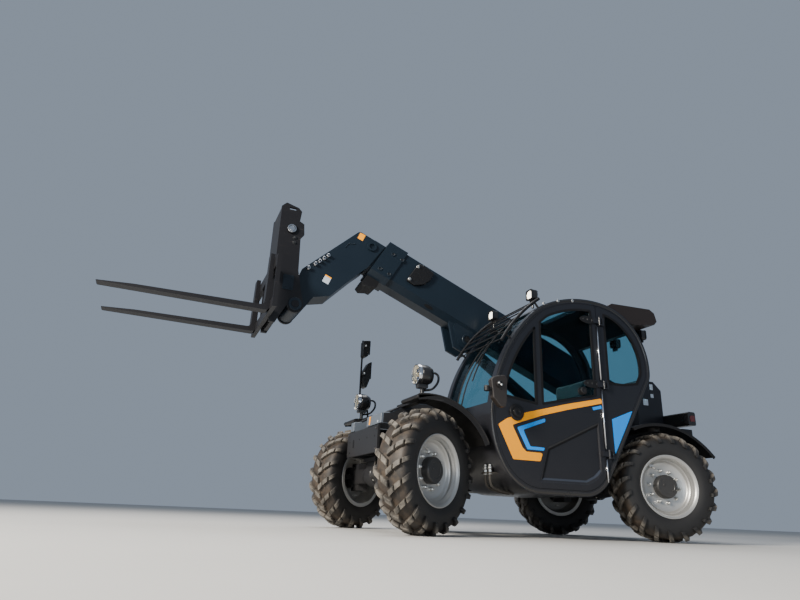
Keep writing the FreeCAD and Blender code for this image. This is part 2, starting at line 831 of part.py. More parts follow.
def carriage():
    """Two tall side plates on the tilt pin, tied by plates that the tilting gooseneck clears; the
    forks' frame sits on their front edges."""
    half = D["carriage_half_width"]
    thick = D["carriage_plate"]
    tall = D["carriage_height"]
    deep = D["carriage_depth"]
    front = deep + 10
    side = outline([
        (-70, 0),
        (70, -20, 71),
        (150, -180),
        (front, -180),
        (front, tall - 40),
        (deep - 30, tall),
        (50, tall - 30),
        (20, tall - 60),
        (30, 760),
        (-10, 740),
        (-20, 640),
        (10, 600),
        (0, 300),
        (-40, 120),
    ])
    lever_x = D["lever_ahead"]
    lever_z = D["lever_up"]
    solids = [
        rod(D["tilt_pin_radius"], 0, -half - thick - 12, 0, (half + thick + 12) * 2),
        box(deep - 4, front, -half, half, 400, tall - 55),
        box(deep - 40, deep - 10, -half, half, -170, 150),
    ]
    for side_y in (half, -half - thick):
        solids.append(prism(side, side_y, side_y + thick))
    for side_y in (half + thick, -half - thick - 14):
        solids.append(rod(45, 95, side_y, 672, 14))
    for side_y in (52, -70):
        solids.append(rod(38, lever_x, side_y, lever_z, 18))
        solids.append(slab([(lever_x, lever_z - 38), (deep - 40, 40), (front, 40), (front, 430),
                            (deep - 6, 430), (lever_x, lever_z + 38)], side_y, side_y + 18))
    for side_y in (70, -82):
        solids.append(rod(22, lever_x, side_y, lever_z, 12))
    slots = box(70, 130, -half - 60, half + 60, tall - 60, tall - 38)
    part("carriage", place(group(cut(join(*solids), slots)), tilt_x, boom_y, tilt_z))
    wide = D["frame_bar_half_width"]
    face = deep + 45
    bars = [
        box(front, face, -wide, wide, 200, 290),
        box(front, face, -wide, wide, -150, -70),
    ]
    for side_y in (wide - 20, -wide):
        bars.append(box(front, face, side_y, side_y + 20, -150, 290))
    for side_y in (half, -half - thick):
        bars.append(box(front, front + 20, side_y, side_y + thick, -150, 290))
    part("fork_frame", place(group(join(*bars)), tilt_x, boom_y, tilt_z))
    tines = []
    low = -D["fork_drop"] - D["fork_thick"]
    tip = face + 40 + D["fork_length"]
    for side_y in (D["fork_spacing"] / 2, -D["fork_spacing"] / 2 - D["fork_width"]):
        side = outline([
            (face, low + 20),
            (face + 30, low, 30),
            (tip - 8, low + 22),
            (tip, low + 28),
            (tip - 250, low + D["fork_thick"]),
            (face + 75, low + D["fork_thick"]),
            (face + 40, low + D["fork_thick"] + 35, -35),
            (face + 34, 330),
            (face, 330),
        ])
        tines.append(prism(side, side_y, side_y + D["fork_width"]))
    part("forks", place(group(*tines), tilt_x, boom_y, tilt_z))


def cylinder_pair(name, base, tip, barrel_radius, rod_radius, eye_radius, halves, barrel_length, stem_start,
                  base_hole):
    """A cylinder from its barrel's pin to its rod's eye, both in one side plane."""
    rise = tip[1] - base[1]
    run = tip[0] - base[0]
    reach = root(rise * rise + run * run)
    angle = -heading(rise, run) if run.value > 0 else 180 - heading(rise, run)
    half, tip_half = halves
    barrel = cut(
        join(rod(eye_radius, 0, -half, 0, half * 2),
             rod(barrel_radius, eye_radius - 10, 0, 0, barrel_length, "x")),
        rod(rod_radius + 1, eye_radius + 30, 0, 0, barrel_length + 100, "x"),
        rod(base_hole + D["run_gap"], 0, -half - 10, 0, half * 2 + 20))
    stem = join(
        rod(rod_radius, stem_start, 0, 0, reach - eye_radius - stem_start, "x"),
        rod(rod_radius, reach - eye_radius - 10, 0, 0, eye_radius, "x"),
        rod(eye_radius, reach, -tip_half, 0, tip_half * 2))
    part(f"{name}_barrel", place(group(barrel), base[0], boom_y, base[1], (0, 1, 0), angle))
    part(f"{name}_rod", place(group(stem), base[0], boom_y, base[1], (0, 1, 0), angle))


def cylinders():
    """The lift cylinder hangs from the boom's lug with its rod down in the frame; the tilt
    cylinder lies in the gooseneck with its rod on the carriage's lever."""
    cylinder_pair("lift", boom_point(D["lift_lug_along"], -D["lift_lug_drop"]),
                  (lift_base_x, lift_base_z),
                  D["barrel_radius"], D["rod_radius"], D["eye_radius"],
                  (D["lug_half_gap"] - D["eye_play"], D["eye_half_width"]),
                  D["lift_barrel_length"], D["lift_stem_start"], D["lift_pin_radius"])
    cylinder_pair("tilt", boom_point(D["tilt_base_along"], D["tilt_base_up"]),
                  (tilt_x + D["lever_ahead"], tilt_z + D["lever_up"]),
                  D["tilt_barrel_radius"], D["tilt_rod_radius"], D["tilt_eye_radius"],
                  (D["tilt_eye_half_width"], D["tilt_eye_half_width"]),
                  D["tilt_barrel_length"], D["tilt_stem_start"], as_size(24))


chassis_frame()
counterweight()
boom_outer()
boom_pads()
boom_inner()
carriage()
cylinders()


# Cab

CAB_CORNERS = (
    # Ahead of the front axle, above the floor, radius of the edge that ends here, outward angle
    (-1318, 0, 300, -90),
    (-928, 0, None, -90),
    (-604, 176, 386, -33),
    (-496, 558, 660, 2.5),
    (-986, 1488, 1302, 56),
    (-1617, 1615, 1041, 96.6),
    (-2086, 1043, 530, 184.8),
    (-2059, 959, 197, 210.75),
    (-1575.5, 146, None, 210.75),
)


def cab_profile(inset=0):
    """The cab's side outline, moved inwards by an inset: flat floor, bulging front, swept
    screen, domed roof and raked back."""
    inset = as_size(inset)
    points = []
    for ahead, up, radius, outward in CAB_CORNERS:
        turn = math.radians(outward)
        point = (front_x + ahead - inset * math.cos(turn), D["cab_low_z"] + up - inset * math.sin(turn))
        points.append(point if radius is None else (*point, radius - inset))
    return outline(points)


pillar_x = front_x - D["pillar_back"]


def door_zones(gap):
    """The door's two window openings, ahead of and behind its split bar, drawn in by a gap."""
    left = D["cab_left_y"]
    zones = []
    for start, end, low_start, low_end in ((pillar_x + 80, front_x - 965, 1105, 985),
                                           (front_x - 915, front_x - 500, 980, 1030)):
        zones.append(slab([(start + gap, low_start + gap), (end - gap, low_end + gap),
                           (end - gap, 1900), (start + gap, 1900)], left - 100, left + 50))
    return zones


def door_recess():
    """The door's lower pocket, whose edges slope in from the face to its floor."""
    left = D["cab_left_y"]
    rear = pillar_x + 76
    sections = []
    for level, points in (
        (left + 2, [(rear, 500), (rear + 60, 440), (rear + 145, 402), (front_x - 910, 400),
                    (front_x - 988, 659), (rear, 894)]),
        (left - D["recess_depth"], [(rear + 6, 526), (rear + 72, 470), (rear + 150, 434), (front_x - 956, 432),
                                    (front_x - 1022, 638), (rear + 6, 854)]),
    ):
        section = outline(points)
        bind(section, "Placement.Base.y", level)
        sections.append(section)
    pocket = doc.addObject("Part::Loft", "pocket")
    pocket.Sections = sections
    pocket.Solid = True
    pocket.Ruled = True
    return pocket


def cab():
    left = D["cab_left_y"]
    right = D["cab_right_y"]
    wall = D["cab_wall"]
    thick = D["door_thick"]
    seam = D["run_gap"]
    glass = D["glass_thick"]
    shell = cut(prism(cab_profile(), right, left),
                prism(cab_profile(wall), right - 10, left + 10))
    # Openings in the shell: the screen, the roof light and the rear light
    openings = ((-1150, -400, 60, 960, 1760), (-1500, -1060, 90, 1760, 2000), (-2200, -1900, 70, 1260, 1720))
    lights = [box(front_x + back, front_x + front, right + margin, left - margin, low, high)
              for back, front, margin, low, high in openings]
    part("cab_shell", cut(shell, *lights))
    panel = cab_profile(wall + seam)
    window = cab_profile(D["window_inset"])
    pane = cab_profile(D["window_inset"] + seam)
    side_light = box(front_x - 2100, front_x - 560, right - 20, right + 50, 1010, 1900)
    part("cab_right_wall", cut(prism(panel, right, right + 30),
                               common(prism(window, right - 10, right + 40), side_light)))
    half_pillar = 22
    ahead = box(pillar_x + half_pillar + D["door_gap"], front_x, left - 200, left + 50, 0, 2200)
    behind = box(front_x - 2300, pillar_x - half_pillar, left - 200, left + 50, 0, 2200)
    pillar = common(prism(panel, left - 60, left - 4),
                    box(pillar_x - half_pillar, pillar_x + half_pillar, left - 200, left + 50, 0, 2200))
    quarter = common(prism(panel, left - thick, left - 4), behind)
    quarter_light = slab([(front_x - 2200, 1300), (front_x - 1780, 1225), (pillar_x - 60, 1225),
                          (pillar_x - 60, 1900), (front_x - 2200, 1900)], left - 100, left + 10)
    # Hinges: brackets with their pins on the pillar, straps with the knuckles on the door
    hinge_y = left + D["hinge_out"]
    brackets, straps, bores = [], [], []
    for level in (645, 1200, 1750):
        brackets.append(rod(5, pillar_x, hinge_y, level - 34, 68, "z"))
        for low in (level - 34, level + 22):
            brackets.append(rod(12, pillar_x, hinge_y, low, 12, "z"))
            brackets.append(box(pillar_x - 40, pillar_x, hinge_y - 5, hinge_y + 5, low, low + 12))
        brackets.append(box(pillar_x - 42, pillar_x - 24, left - 4, hinge_y + 5, level - 34, level + 34))
        straps.append(rod(12, pillar_x, hinge_y, level - 20, 40, "z"))
        straps.append(box(pillar_x, pillar_x + 70, hinge_y - 5, hinge_y + 5, level - 20, level + 20))
        straps.append(box(pillar_x + 40, pillar_x + 70, left, hinge_y, level - 20, level + 20))
        bores.append(rod(5 + seam, pillar_x, hinge_y, level - 30, 60, "z"))
    part("cab_quarter_panel", join(cut(join(pillar, quarter), common(prism(window, left - 100, left + 10),
                                                                     quarter_light)), *brackets))
    door_plate = common(prism(cab_profile(wall + 5), left - thick, left), ahead)
    windows = [common(prism(window, left - 100, left + 50), zone) for zone in door_zones(0)]
    part("door_panel", cut(join(door_plate, *straps), *windows, *bores, door_recess()))
    part("door_glass", group(*[common(prism(pane, left - 20, left - 20 + glass), zone)
                               for zone in door_zones(seam)]))
    skin = cut(prism(cab_profile(14), right, left),
               prism(cab_profile(14 + glass), right - 10, left + 10))
    panes = [common(skin, box(front_x + back + seam, front_x + front - seam, right + margin + seam,
                              left - margin - seam, low + seam, high - seam))
             for back, front, margin, low, high in openings]
    panes.append(common(prism(pane, right + 12, right + 12 + glass),
                        box(front_x - 2100, front_x - 560 - seam, right - 20, right + 50, 1010 + seam, 1900)))
    panes.append(common(prism(pane, left - 20, left - 20 + glass),
                        slab([(front_x - 2200, 1300 + seam), (front_x - 1780, 1225 + seam),
                              (pillar_x - 60 - seam, 1225 + seam), (pillar_x - 60 - seam, 1900),
                              (front_x - 2200, 1900)], left - 100, left + 10)))
    part("cab_glass", group(*panes))


def cab_room(solid):
    """What of a solid lies inside the cab's walls: it stands on the bent floor."""
    return common(solid, prism(cab_profile(D["cab_wall"]), D["cab_right_y"] + 40, D["cab_left_y"] - 60))


cab_mid = (D["cab_left_y"] + D["cab_right_y"]) / 2
floor_z = D["cab_low_z"] + D["cab_wall"]


def seat():
    seat_x = front_x - 1360
    part("seat_base", cab_room(box(seat_x - 180, seat_x + 200, cab_mid - 170, cab_mid + 170,
                                   floor_z - 30, floor_z + 260)))
    low = floor_z + 260
    cushion = rounded(box(seat_x - 190, seat_x + 260, cab_mid - 240, cab_mid + 240, low, low + 110),
                      30, runs_along("z"))
    foot = low + 110 + D["run_gap"]
    back = slab([(seat_x - 215, foot), (seat_x - 100, foot), (seat_x - 185, low + 690),
                 (seat_x - 285, low + 710)], cab_mid - 230, cab_mid + 230)
    part("seat_cushions", group(cushion, back))


def steering_column():
    foot_x = front_x - 800
    console = cab_room(slab([(foot_x - 90, floor_z - 10), (foot_x + 150, floor_z - 10),
                             (foot_x + 110, floor_z + 420),
                             (foot_x - 10, floor_z + 560), (foot_x - 80, floor_z + 520)],
                            cab_mid - 130, cab_mid + 130))
    part("dash_console", console)
    ring = spun([(162, -8), (175, -14), (188, -8), (188, 8), (175, 14), (162, 8)])
    ring = place(group(ring), 0, 0, 0, (1, 0, 0), 90)
    wheel = join(ring, rod(26, 0, 0, -60, 70, "z"), box(-170, 170, -14, 14, -8, 8),
                 rod(24, 0, 0, -240, 190, "z"))
    wheel = place(group(wheel), foot_x - 90, cab_mid, floor_z + 640, (0, 1, 0), -32)
    part("steering_wheel", cut(wheel, console))


def on_cab(solid):
    """What of a solid lies outside the cab's skin: it ends on the skin."""
    return cut(solid, prism(cab_profile(), D["cab_right_y"] - 50, D["cab_left_y"] + 50))


def roof_guard():
    """The bars over the upper screen, between two tubes that follow its slope on short feet."""
    left = D["cab_left_y"] - 26
    right = D["cab_right_y"] + 26
    start_x = front_x - 1015
    start_z = 1862
    slope = as_size(43)
    length = 520
    solids = []
    for side_y in (left, right):
        tube = group(rod(13, 0, 0, 0, length, "x"))
        solids.append(place(tube, start_x, side_y, start_z, (0, 1, 0), slope))
        for along in (40, length - 40):
            foot = rod(9, along, 0, -140, 140, "z")
            solids.append(on_cab(place(group(foot), start_x, side_y, start_z, (0, 1, 0), slope)))
    for i in range(8):
        along = 30 + i * (length - 60) / 7
        solids.append(rod(8, start_x + along * cosine(slope), right, start_z - along * sine(slope),
                          left - right))
    part("roof_guard", join(*solids))


def roof_rear_hood():
    hood = slab([
        (front_x - 1640, 1880), (front_x - 1860, 1815), (front_x - 2000, 1800), (front_x - 2230, 1835),
        (front_x - 2262, 1870), (front_x - 2240, 1945), (front_x - 2190, 1975), (front_x - 1760, 1960)],
        D["cab_right_y"] + 30, D["cab_left_y"] - 30)
    part("roof_rear_hood", on_cab(hood))


def mudguard(side, centre_x, centre_z, radius, lip, sector):
    """A skin bent over a wheel with a lip down its outer edge, within a sector's outline."""
    skin = D["fender_skin"]
    outer = D["fender_outer_y"]
    first, last = span(side, D["fender_inner_y"], outer)
    edge, _ = span(side, outer - skin, outer)
    ring = cut(rod(radius, centre_x, first, centre_z, last - first),
               rod(radius - skin, centre_x, first - 5, centre_z, last - first + 10))
    lipped = cut(rod(radius, centre_x, edge, centre_z, skin),
                 rod(radius - lip, centre_x, edge - 5, centre_z, skin + 10))
    return common(join(ring, lipped), slab(sector, first - 5, last + 5))


def fenders():
    """Front mudguards on posts from the nose cover, rear ones on arms from the frame's plates."""
    outer = D["fender_outer_y"]
    solids = []
    for side in (1, -1):
        radius = D["fender_radius"]
        front = mudguard(side, front_x, axle_z, radius, D["fender_lip"], [
            (front_x, axle_z), (front_x + 330, axle_z + 660), (front_x - 300, axle_z + 700),
            (front_x - 700, axle_z + 600), (front_x - 700, axle_z + 300)])
        top = axle_z + radius
        arm = box(front_x - 30, front_x + 30, *span(side, 300, outer - 120), top - 30, top - 5)
        post = box(front_x - 30, front_x + 30, *span(side, 300, 340), D["cover_top_z"], top - 30)
        solids.append(join(front, arm, post))
        centre_x = rear_x + 72
        centre_z = axle_z - 310
        radius = D["rear_fender_radius"]
        rear = mudguard(side, centre_x, centre_z, radius, 25, [
            (centre_x, centre_z), (centre_x + 366, centre_z + 910), (centre_x - 900, centre_z + 910)])
        frame_face = frame_left + plate if side > 0 else -frame_right + plate
        arm = box(rear_x - 30, rear_x + 30, *span(side, frame_face, outer - 120), 890, 931)
        solids.append(join(rear, arm))
    part("fenders", group(*solids))


def side_box():
    """The right-hand body between the wheels: an open-topped box that holds the battery, and its lid."""
    outer = -D["side_box_outer_y"]
    inner = frame_right - plate
    top = D["side_box_top_z"]
    low = D["frame_low_z"] + 20
    wall = D["hood_wall"]
    front, back = box_front, box_back
    shell = rounded(box(back, front, outer, inner, low, top), 60,
                    lambda edge: runs_along("x")(edge) and edge.CenterOfMass.z < 400
                    and edge.CenterOfMass.y < outer.value + 50)
    part("side_box", cut(shell, box(back + wall, front - wall, outer + wall, inner - wall,
                                    low + wall, top + 50)))
    part("battery_pack", box(back + 80, front - 80, outer + 60, inner - 60, low + wall, top - 40))
    ridge = D["hood_top_z"]
    inner = inner - 8
    lid = slab([
        (back, top + 5), (front, top + 5), (front, top + 60), (front - 260, ridge),
        (back + 60, ridge), (back, ridge - 60)], outer, inner)
    room = slab([
        (back + wall, top - 20), (front - wall, top - 20), (front - wall, top + 55),
        (front - 268, ridge - wall), (back + 65, ridge - wall),
        (back + wall, ridge - 66)], outer + wall, inner - wall)
    knuckles, bores = [], []
    for hinge_x in HOOD_HINGES:
        knuckles.append(rod(10, hinge_x - 18, hood_hinge_y, hood_hinge_z, 36, "x"))
        knuckles.append(box(hinge_x - 18, hinge_x + 18, inner - wall, hood_hinge_y,
                            hood_hinge_z - 5, hood_hinge_z + 5))
        bores.append(rod(5 + D["run_gap"], hinge_x - 30, hood_hinge_y, hood_hinge_z, 60, "x"))
    part("side_hood", cut(join(cut(lid, room), *knuckles), *bores))


def rear_bodywork():
    left = frame_left + plate
    cover = slab([
        (tail_x - 50, 990), (rear_x - 240, 990), (rear_x - 240, 1380), (rear_x - 300, 1460),
        (tail_x + 40, 1460), (tail_x - 50, 1380)], left + 35, left + 260)
    feet = [box(foot_x, foot_x + 30, left, left + 40, 1010, 1050) for foot_x in (tail_x + 35, tail_x + 110)]
    right = frame_right - plate
    low_cover = slab([
        (tail_x + 20, 985), (rear_x + 500, 985), (rear_x + 460, 1100), (tail_x + 90, 1130),
        (tail_x + 30, 1080)],
        -D["side_box_outer_y"] + 20, right)
    part("rear_covers", group(join(cover, *feet), low_cover))
    bar = rounded(box(tail_x - 150, tail_x - 60, -590, 590, 1015, 1140), 18, runs_along("y"))
    posts = [box(tail_x - 120, tail_x - 90, post_y - 20, post_y + 20, D["counterweight_top_z"], 1030)
             for post_y in (-320, 320)]
    part("rear_lamp_bar", join(bar, *posts))


def front_cover():
    """The sloped cover over the nose, in two halves beside the boom's slot."""
    top = D["cover_top_z"]
    side = [(front_x - 330, 705), (front_x - 240, 705), (front_x - 110, 795), (nose_x, 795), (nose_x, 830),
            (front_x + 60, top), (front_x - 330, top)]
    half = D["nose_half_width"]
    part("front_cover", group(slab(side, frame_left + plate, half), slab(side, -half, frame_right - plate)))


def lamps():
    """Headlamps on stalks over the front mudguards and work lamps on the roof's front corners."""
    top = axle_z + D["fender_radius"]
    solids = []
    for side in (1, -1):
        y = D["kingpin_y"] * side
        x = front_x + 21
        solids.append(join(
            cut(rod(14, x - 30, y, top - 20, 130, "z"),
                rod(D["fender_radius"], front_x, y - 30, axle_z, 60)),
            rod(78, x - 60, y, 1130, 85, "x"),
            cone(60, 78, x - 100, y, 1130, 40, "x")))
    for y in (D["cab_left_y"] - 90, D["cab_right_y"] + 80):
        x = front_x - 969
        solids.append(join(on_cab(rod(10, x, y, 1700, 180, "z")), rod(48, x - 30, y, 1915, 60, "x")))
    part("lamps", group(*solids))


def mirrors():
    left = D["cab_left_y"]
    shell = slab([(front_x - 520, 940), (front_x - 450, 935), (front_x - 425, 1060), (front_x - 450, 1150),
                  (front_x - 505, 1150)], left + 120, left + 165)
    arm = slab([(front_x - 544, left), (front_x - 526, left), (front_x - 480, left + 130),
                (front_x - 498, left + 130)], 1051, 1069, "plan")
    x = front_x - 45
    y = -D["kingpin_y"] - 95
    stalk = cut(rod(11, x, y, 920, 840, "z"), rod(D["fender_radius"], front_x, y - 30, axle_z, 60))
    upper = box(x - 15, x + 30, y - 45, y + 60, 1560, 1760)
    lower = box(x - 15, x + 30, y - 40, y + 55, 1330, 1500)
    part("mirrors", group(join(shell, arm), join(stalk, upper, lower)))


fenders()
cab()
seat()
steering_column()
roof_guard()
roof_rear_hood()
side_box()
rear_bodywork()
front_cover()
lamps()
mirrors()

doc.recompute()
problems = []
for thing in doc.Objects:
    if "Invalid" in thing.State or "Error" in thing.State:
        problems.append(f"{thing.Name} {thing.Label}: {thing.State}")
for solid in PARTS:
    if solid.Shape.isNull() or not solid.Shape.isValid():
        problems.append(f"{solid.Label}: no valid shape")
if problems:
    raise SystemExit("\n".join(problems))

os.makedirs("parts", exist_ok=True)
for solid in PARTS:
    solid.Shape.exportStep(f"parts/{solid.Label}.step")
    print(solid.Label, len(solid.Shape.Solids), round(solid.Shape.Volume / 1e6, 2))
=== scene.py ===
import json
import math

import bmesh
import bpy
import numpy as np
from mathutils import Matrix, Vector


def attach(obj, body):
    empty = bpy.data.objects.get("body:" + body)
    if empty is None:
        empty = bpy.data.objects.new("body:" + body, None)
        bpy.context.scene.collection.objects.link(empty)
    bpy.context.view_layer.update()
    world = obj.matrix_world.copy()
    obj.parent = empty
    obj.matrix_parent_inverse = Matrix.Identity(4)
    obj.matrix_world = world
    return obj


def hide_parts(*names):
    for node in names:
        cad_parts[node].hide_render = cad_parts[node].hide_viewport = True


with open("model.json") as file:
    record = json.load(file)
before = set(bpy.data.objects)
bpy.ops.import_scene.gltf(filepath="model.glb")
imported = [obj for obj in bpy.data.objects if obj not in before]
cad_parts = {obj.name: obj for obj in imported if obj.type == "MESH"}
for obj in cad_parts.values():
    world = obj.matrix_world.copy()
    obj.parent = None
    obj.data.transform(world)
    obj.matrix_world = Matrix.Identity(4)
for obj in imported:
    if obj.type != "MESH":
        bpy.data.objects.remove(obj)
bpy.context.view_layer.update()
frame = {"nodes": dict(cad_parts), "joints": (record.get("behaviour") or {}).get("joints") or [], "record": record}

# A compact electric telehandler in metres: X to the forks, Y to the cab's side, Z up.

JOINTS = {joint["name"]: joint for joint in frame["joints"]}
CORNERS = ("front_left", "front_right", "rear_left", "rear_right")

# Driving sizes, the same as the solids'
BOOM_ANGLE = math.radians(22)
BOOM_Y = -0.125
BOOM_FACE = 0.125
COLLAR_FACE = BOOM_FACE + 0.014
NECK_FACE = 0.120
CAB_LEFT = 0.870
CAB_RIGHT = 0.070
AXLES = ((0.300, 1), (-1.918, -1))
AXLE_Z = 0.433
TYRE_TOP = 0.433
LUG_COUNT = 20
LUG_HEIGHT = 0.0270
LUG_END_HEIGHT = 0.014
RIM_HALF = 0.125
BEAD = 0.229
FLANGE = 0.252
DISC_OUT = 0.020
BOX_FACE = -0.8602
NOSE_FACE = 0.5102
SCREEN_CENTRE = (-1.495, 0.779)
SCREEN_RADIUS = 1.302
LIFT_EYES = ((-0.4796, 1.7015), (-1.959, 0.720))
AXIS_RADIUS = 0.0004

ORANGE = (1.000, 0.370, 0.003)
BLUE = (0.010, 0.260, 0.800)


# Mesh helpers: a shape is a pair of points and faces

def grid_faces(rows, columns, close_rows=False, close_columns=False):
    """Quads between neighbouring points of a rows by columns grid, wrapped where asked."""
    i = np.arange(rows if close_rows else rows - 1)
    j = np.arange(columns if close_columns else columns - 1)
    i, j = np.meshgrid(i, j, indexing="ij")
    i2 = (i + 1) % rows
    j2 = (j + 1) % columns
    quads = np.stack([i * columns + j, i2 * columns + j, i2 * columns + j2, i * columns + j2], axis=-1)
    return quads.reshape(-1, 4)


def stacked(*parts):
    """Several shapes as one shape."""
    points, faces, start = [], [], 0
    for part_points, part_faces in parts:
        points.append(part_points)
        faces += [[int(k) + start for k in face] for face in part_faces]
        start += len(part_points)
    return np.concatenate(points), faces


def turned(profile, steps=64, closed=True):
    """Points (radius, along) of a profile turned about the Y axis: x = r sin a, z = r cos a."""
    profile = np.asarray(profile, float)
    angle = np.linspace(0, 2 * np.pi, steps, endpoint=False)
    radius = profile[:, 0][:, None]
    points = np.stack([radius * np.sin(angle), np.repeat(profile[:, 1][:, None], steps, axis=1),
                       radius * np.cos(angle)], axis=-1)
    return points.reshape(-1, 3), grid_faces(len(profile), steps, closed, True)


def drum(radius, start, end, bevel, steps=32, hole=AXIS_RADIUS):
    """A turned disc or ring between two stations with bevelled rims, closed at its middle."""
    return turned([(hole, start), (radius - bevel, start), (radius, start + bevel), (radius, end - bevel),
                   (radius - bevel, end), (hole, end)], steps)


def tube(path, radius, sides=12):
    """A round tube along a path: each ring is set square to the path's tangent; ends are closed."""
    path = np.asarray(path, float)
    tangent = np.gradient(path, axis=0)
    tangent /= np.linalg.norm(tangent, axis=1)[:, None]
    lean = np.array([0.31, 0.17, 0.93]) if abs(tangent[:, 2]).max() < 0.95 else np.array([0.93, 0.31, 0.17])
    across = np.cross(tangent, lean)
    across /= np.linalg.norm(across, axis=1)[:, None]
    up = np.cross(across, tangent)
    angle = np.linspace(0, 2 * np.pi, sides, endpoint=False)
    ring = np.cos(angle)[None, :, None] * across[:, None, :] + np.sin(angle)[None, :, None] * up[:, None, :]
    ends = (np.broadcast_to(path[k], (1, sides, 3)) for k in (0, -1))
    points = np.concatenate([next(ends), path[:, None, :] + radius * ring, next(ends)])
    return points.reshape(-1, 3), grid_faces(len(path) + 2, sides, False, True)


def bent_tube(corners, radius, sides=12, steps=8):
    """A tube on a Catmull-Rom curve through the corners: a span is a cubic of its four nearest corners."""
    corners = np.asarray(corners, float)
    padded = np.concatenate([2 * corners[:1] - corners[1:2], corners, 2 * corners[-1:] - corners[-2:-1]])
    t = np.linspace(0, 1, steps, endpoint=False)[None, :, None]
    a, b, c, d = (padded[k:len(padded) - 3 + k][:, None, :] for k in range(4))
    curve = 0.5 * (2 * b + (c - a) * t + (2 * a - 5 * b + 4 * c - d) * t ** 2 + (3 * b - a - 3 * c + d) * t ** 3)
    return tube(np.concatenate([curve.reshape(-1, 3), corners[-1:]]), radius, sides)


def plate(outline, near, far, plane="side"):
    """An outline drawn square to its plane from near to far, as a closed prism with two caps."""
    count = len(outline)
    order = {"side": (0, 2, 1), "plan": (0, 1, 2), "front": (2, 0, 1)}[plane]
    points = np.column_stack([np.tile(np.asarray(outline, float), (2, 1)), np.repeat((near, far), count)])
    sides = [[k, (k + 1) % count, count + (k + 1) % count, count + k] for k in range(count)]
    return points[:, order], [list(range(count))[::-1], [count + k for k in range(count)]] + sides


def rounded(corners, radius, steps=5):
    """The corners of a polygon replaced by arcs of one radius, worked out from the edges' directions."""
    corners = np.asarray(corners, float)
    result = []
    for k, here in enumerate(corners):
        edges = [corners[k - 1] - here, corners[(k + 1) % len(corners)] - here]
        lengths = [np.linalg.norm(edge) for edge in edges]
        back, on = (edge / length for edge, length in zip(edges, lengths))
        half = max(math.acos(np.clip(back @ on, -1, 1)) / 2, 0.05)
        reach = min(radius / math.tan(half), 0.45 * min(lengths))
        t = np.linspace(0, 1, steps)[:, None]
        result.append((1 - t) ** 2 * (here + back * reach) + 2 * t * (1 - t) * here + t ** 2 * (here + on * reach))
    return np.concatenate(result)


def slab(across, up, depth, radius, steps=5, plane="side"):
    """A plate with a rectangle of rounded corners, each size given as its two ends."""
    (left, right), (low, high) = across, up
    return plate(rounded([(left, low), (right, low), (right, high), (left, high)], radius, steps), *depth, plane)


def moved(shape, matrix):
    points, faces = shape
    matrix = np.array(matrix)
    return points @ matrix[:3, :3].T + matrix[:3, 3], faces


TO_X = Matrix.Rotation(math.radians(-90), 4, "Z")
TO_Z = Matrix.Rotation(math.radians(90), 4, "X")
DOWN = Matrix.Rotation(math.radians(-90), 4, "X")
ABOUT_Z = Matrix.Rotation(math.radians(180), 4, "Z")
FACING = {1: None, -1: ABOUT_Z}


def placed(shape, x, y, z, turn=None):
    """A shape turned about the origin and then moved."""
    points, faces = shape if turn is None else moved(shape, turn)
    return points + np.array((x, y, z)), faces


def bolt(radius, length):
    """A six-sided head on its washer, along Y from the origin."""
    washer = drum(radius * 1.4, 0, length * 0.22, 0.0006, 20)
    return stacked(washer, placed(drum(radius, 0, length * 0.8, radius * 0.18, 6), 0, length * 0.2, 0))


def hull(points):
    """The corners of the convex outline round flat points, by the sweep from left to right and back."""
    order = sorted(map(tuple, np.round(points, 5)))

    def half(run):
        chain = []
        for p in run:
            while len(chain) > 1 and ((chain[-1][0] - chain[-2][0]) * (p[1] - chain[-2][1])
                                      - (chain[-1][1] - chain[-2][1]) * (p[0] - chain[-2][0])) <= 0:
                chain.pop()
            chain.append(p)
        return chain[:-1]

    return np.array(half(order) + half(order[::-1]))


def spread(loop, count=160):
    """Evenly spaced points along a closed outline."""
    closed = np.concatenate([loop, loop[:1]])
    length = np.concatenate([[0], np.cumsum(np.linalg.norm(np.diff(closed, axis=0), axis=1))])
    at = np.linspace(0, length[-1], count, endpoint=False)
    return np.stack([np.interp(at, length, closed[:, k]) for k in (0, 1)], axis=-1)


def widened(loop, amount):
    """A closed outline moved outwards by an amount, each point along its edges' mean normal."""
    along = np.roll(loop, -1, axis=0) - np.roll(loop, 1, axis=0)
    along /= np.linalg.norm(along, axis=1)[:, None]
    normal = np.stack([along[:, 1], -along[:, 0]], axis=-1)
    turning = np.sum(loop[:, 0] * np.roll(loop[:, 1], -1) - loop[:, 1] * np.roll(loop[:, 0], -1))
    return loop + normal * amount * (1 if turning > 0 else -1)


def at_depth(loop, y):
    """A side outline's points (x, z) set at one Y."""
    return np.insert(loop, 1, y, axis=1)


def band(loop, inner, outer, near, far):
    """A flat closed band between two offsets of an outline, from near to far in Y."""
    rings = [at_depth(widened(loop, offset), y)
             for offset, y in ((inner, near), (outer, near), (outer, far), (inner, far))]
    return np.concatenate(rings), grid_faces(4, len(loop), True, True)


CAB_SIDE = (
    (-1.018, 0.312, 0.300), (-0.628, 0.312, None), (-0.304, 0.488, 0.386), (-0.196, 0.870, 0.660),
    (-0.686, 1.800, 1.302), (-1.317, 1.927, 1.041), (-1.786, 1.355, 0.530), (-1.759, 1.271, 0.197),
    (-1.2755, 0.458, None))


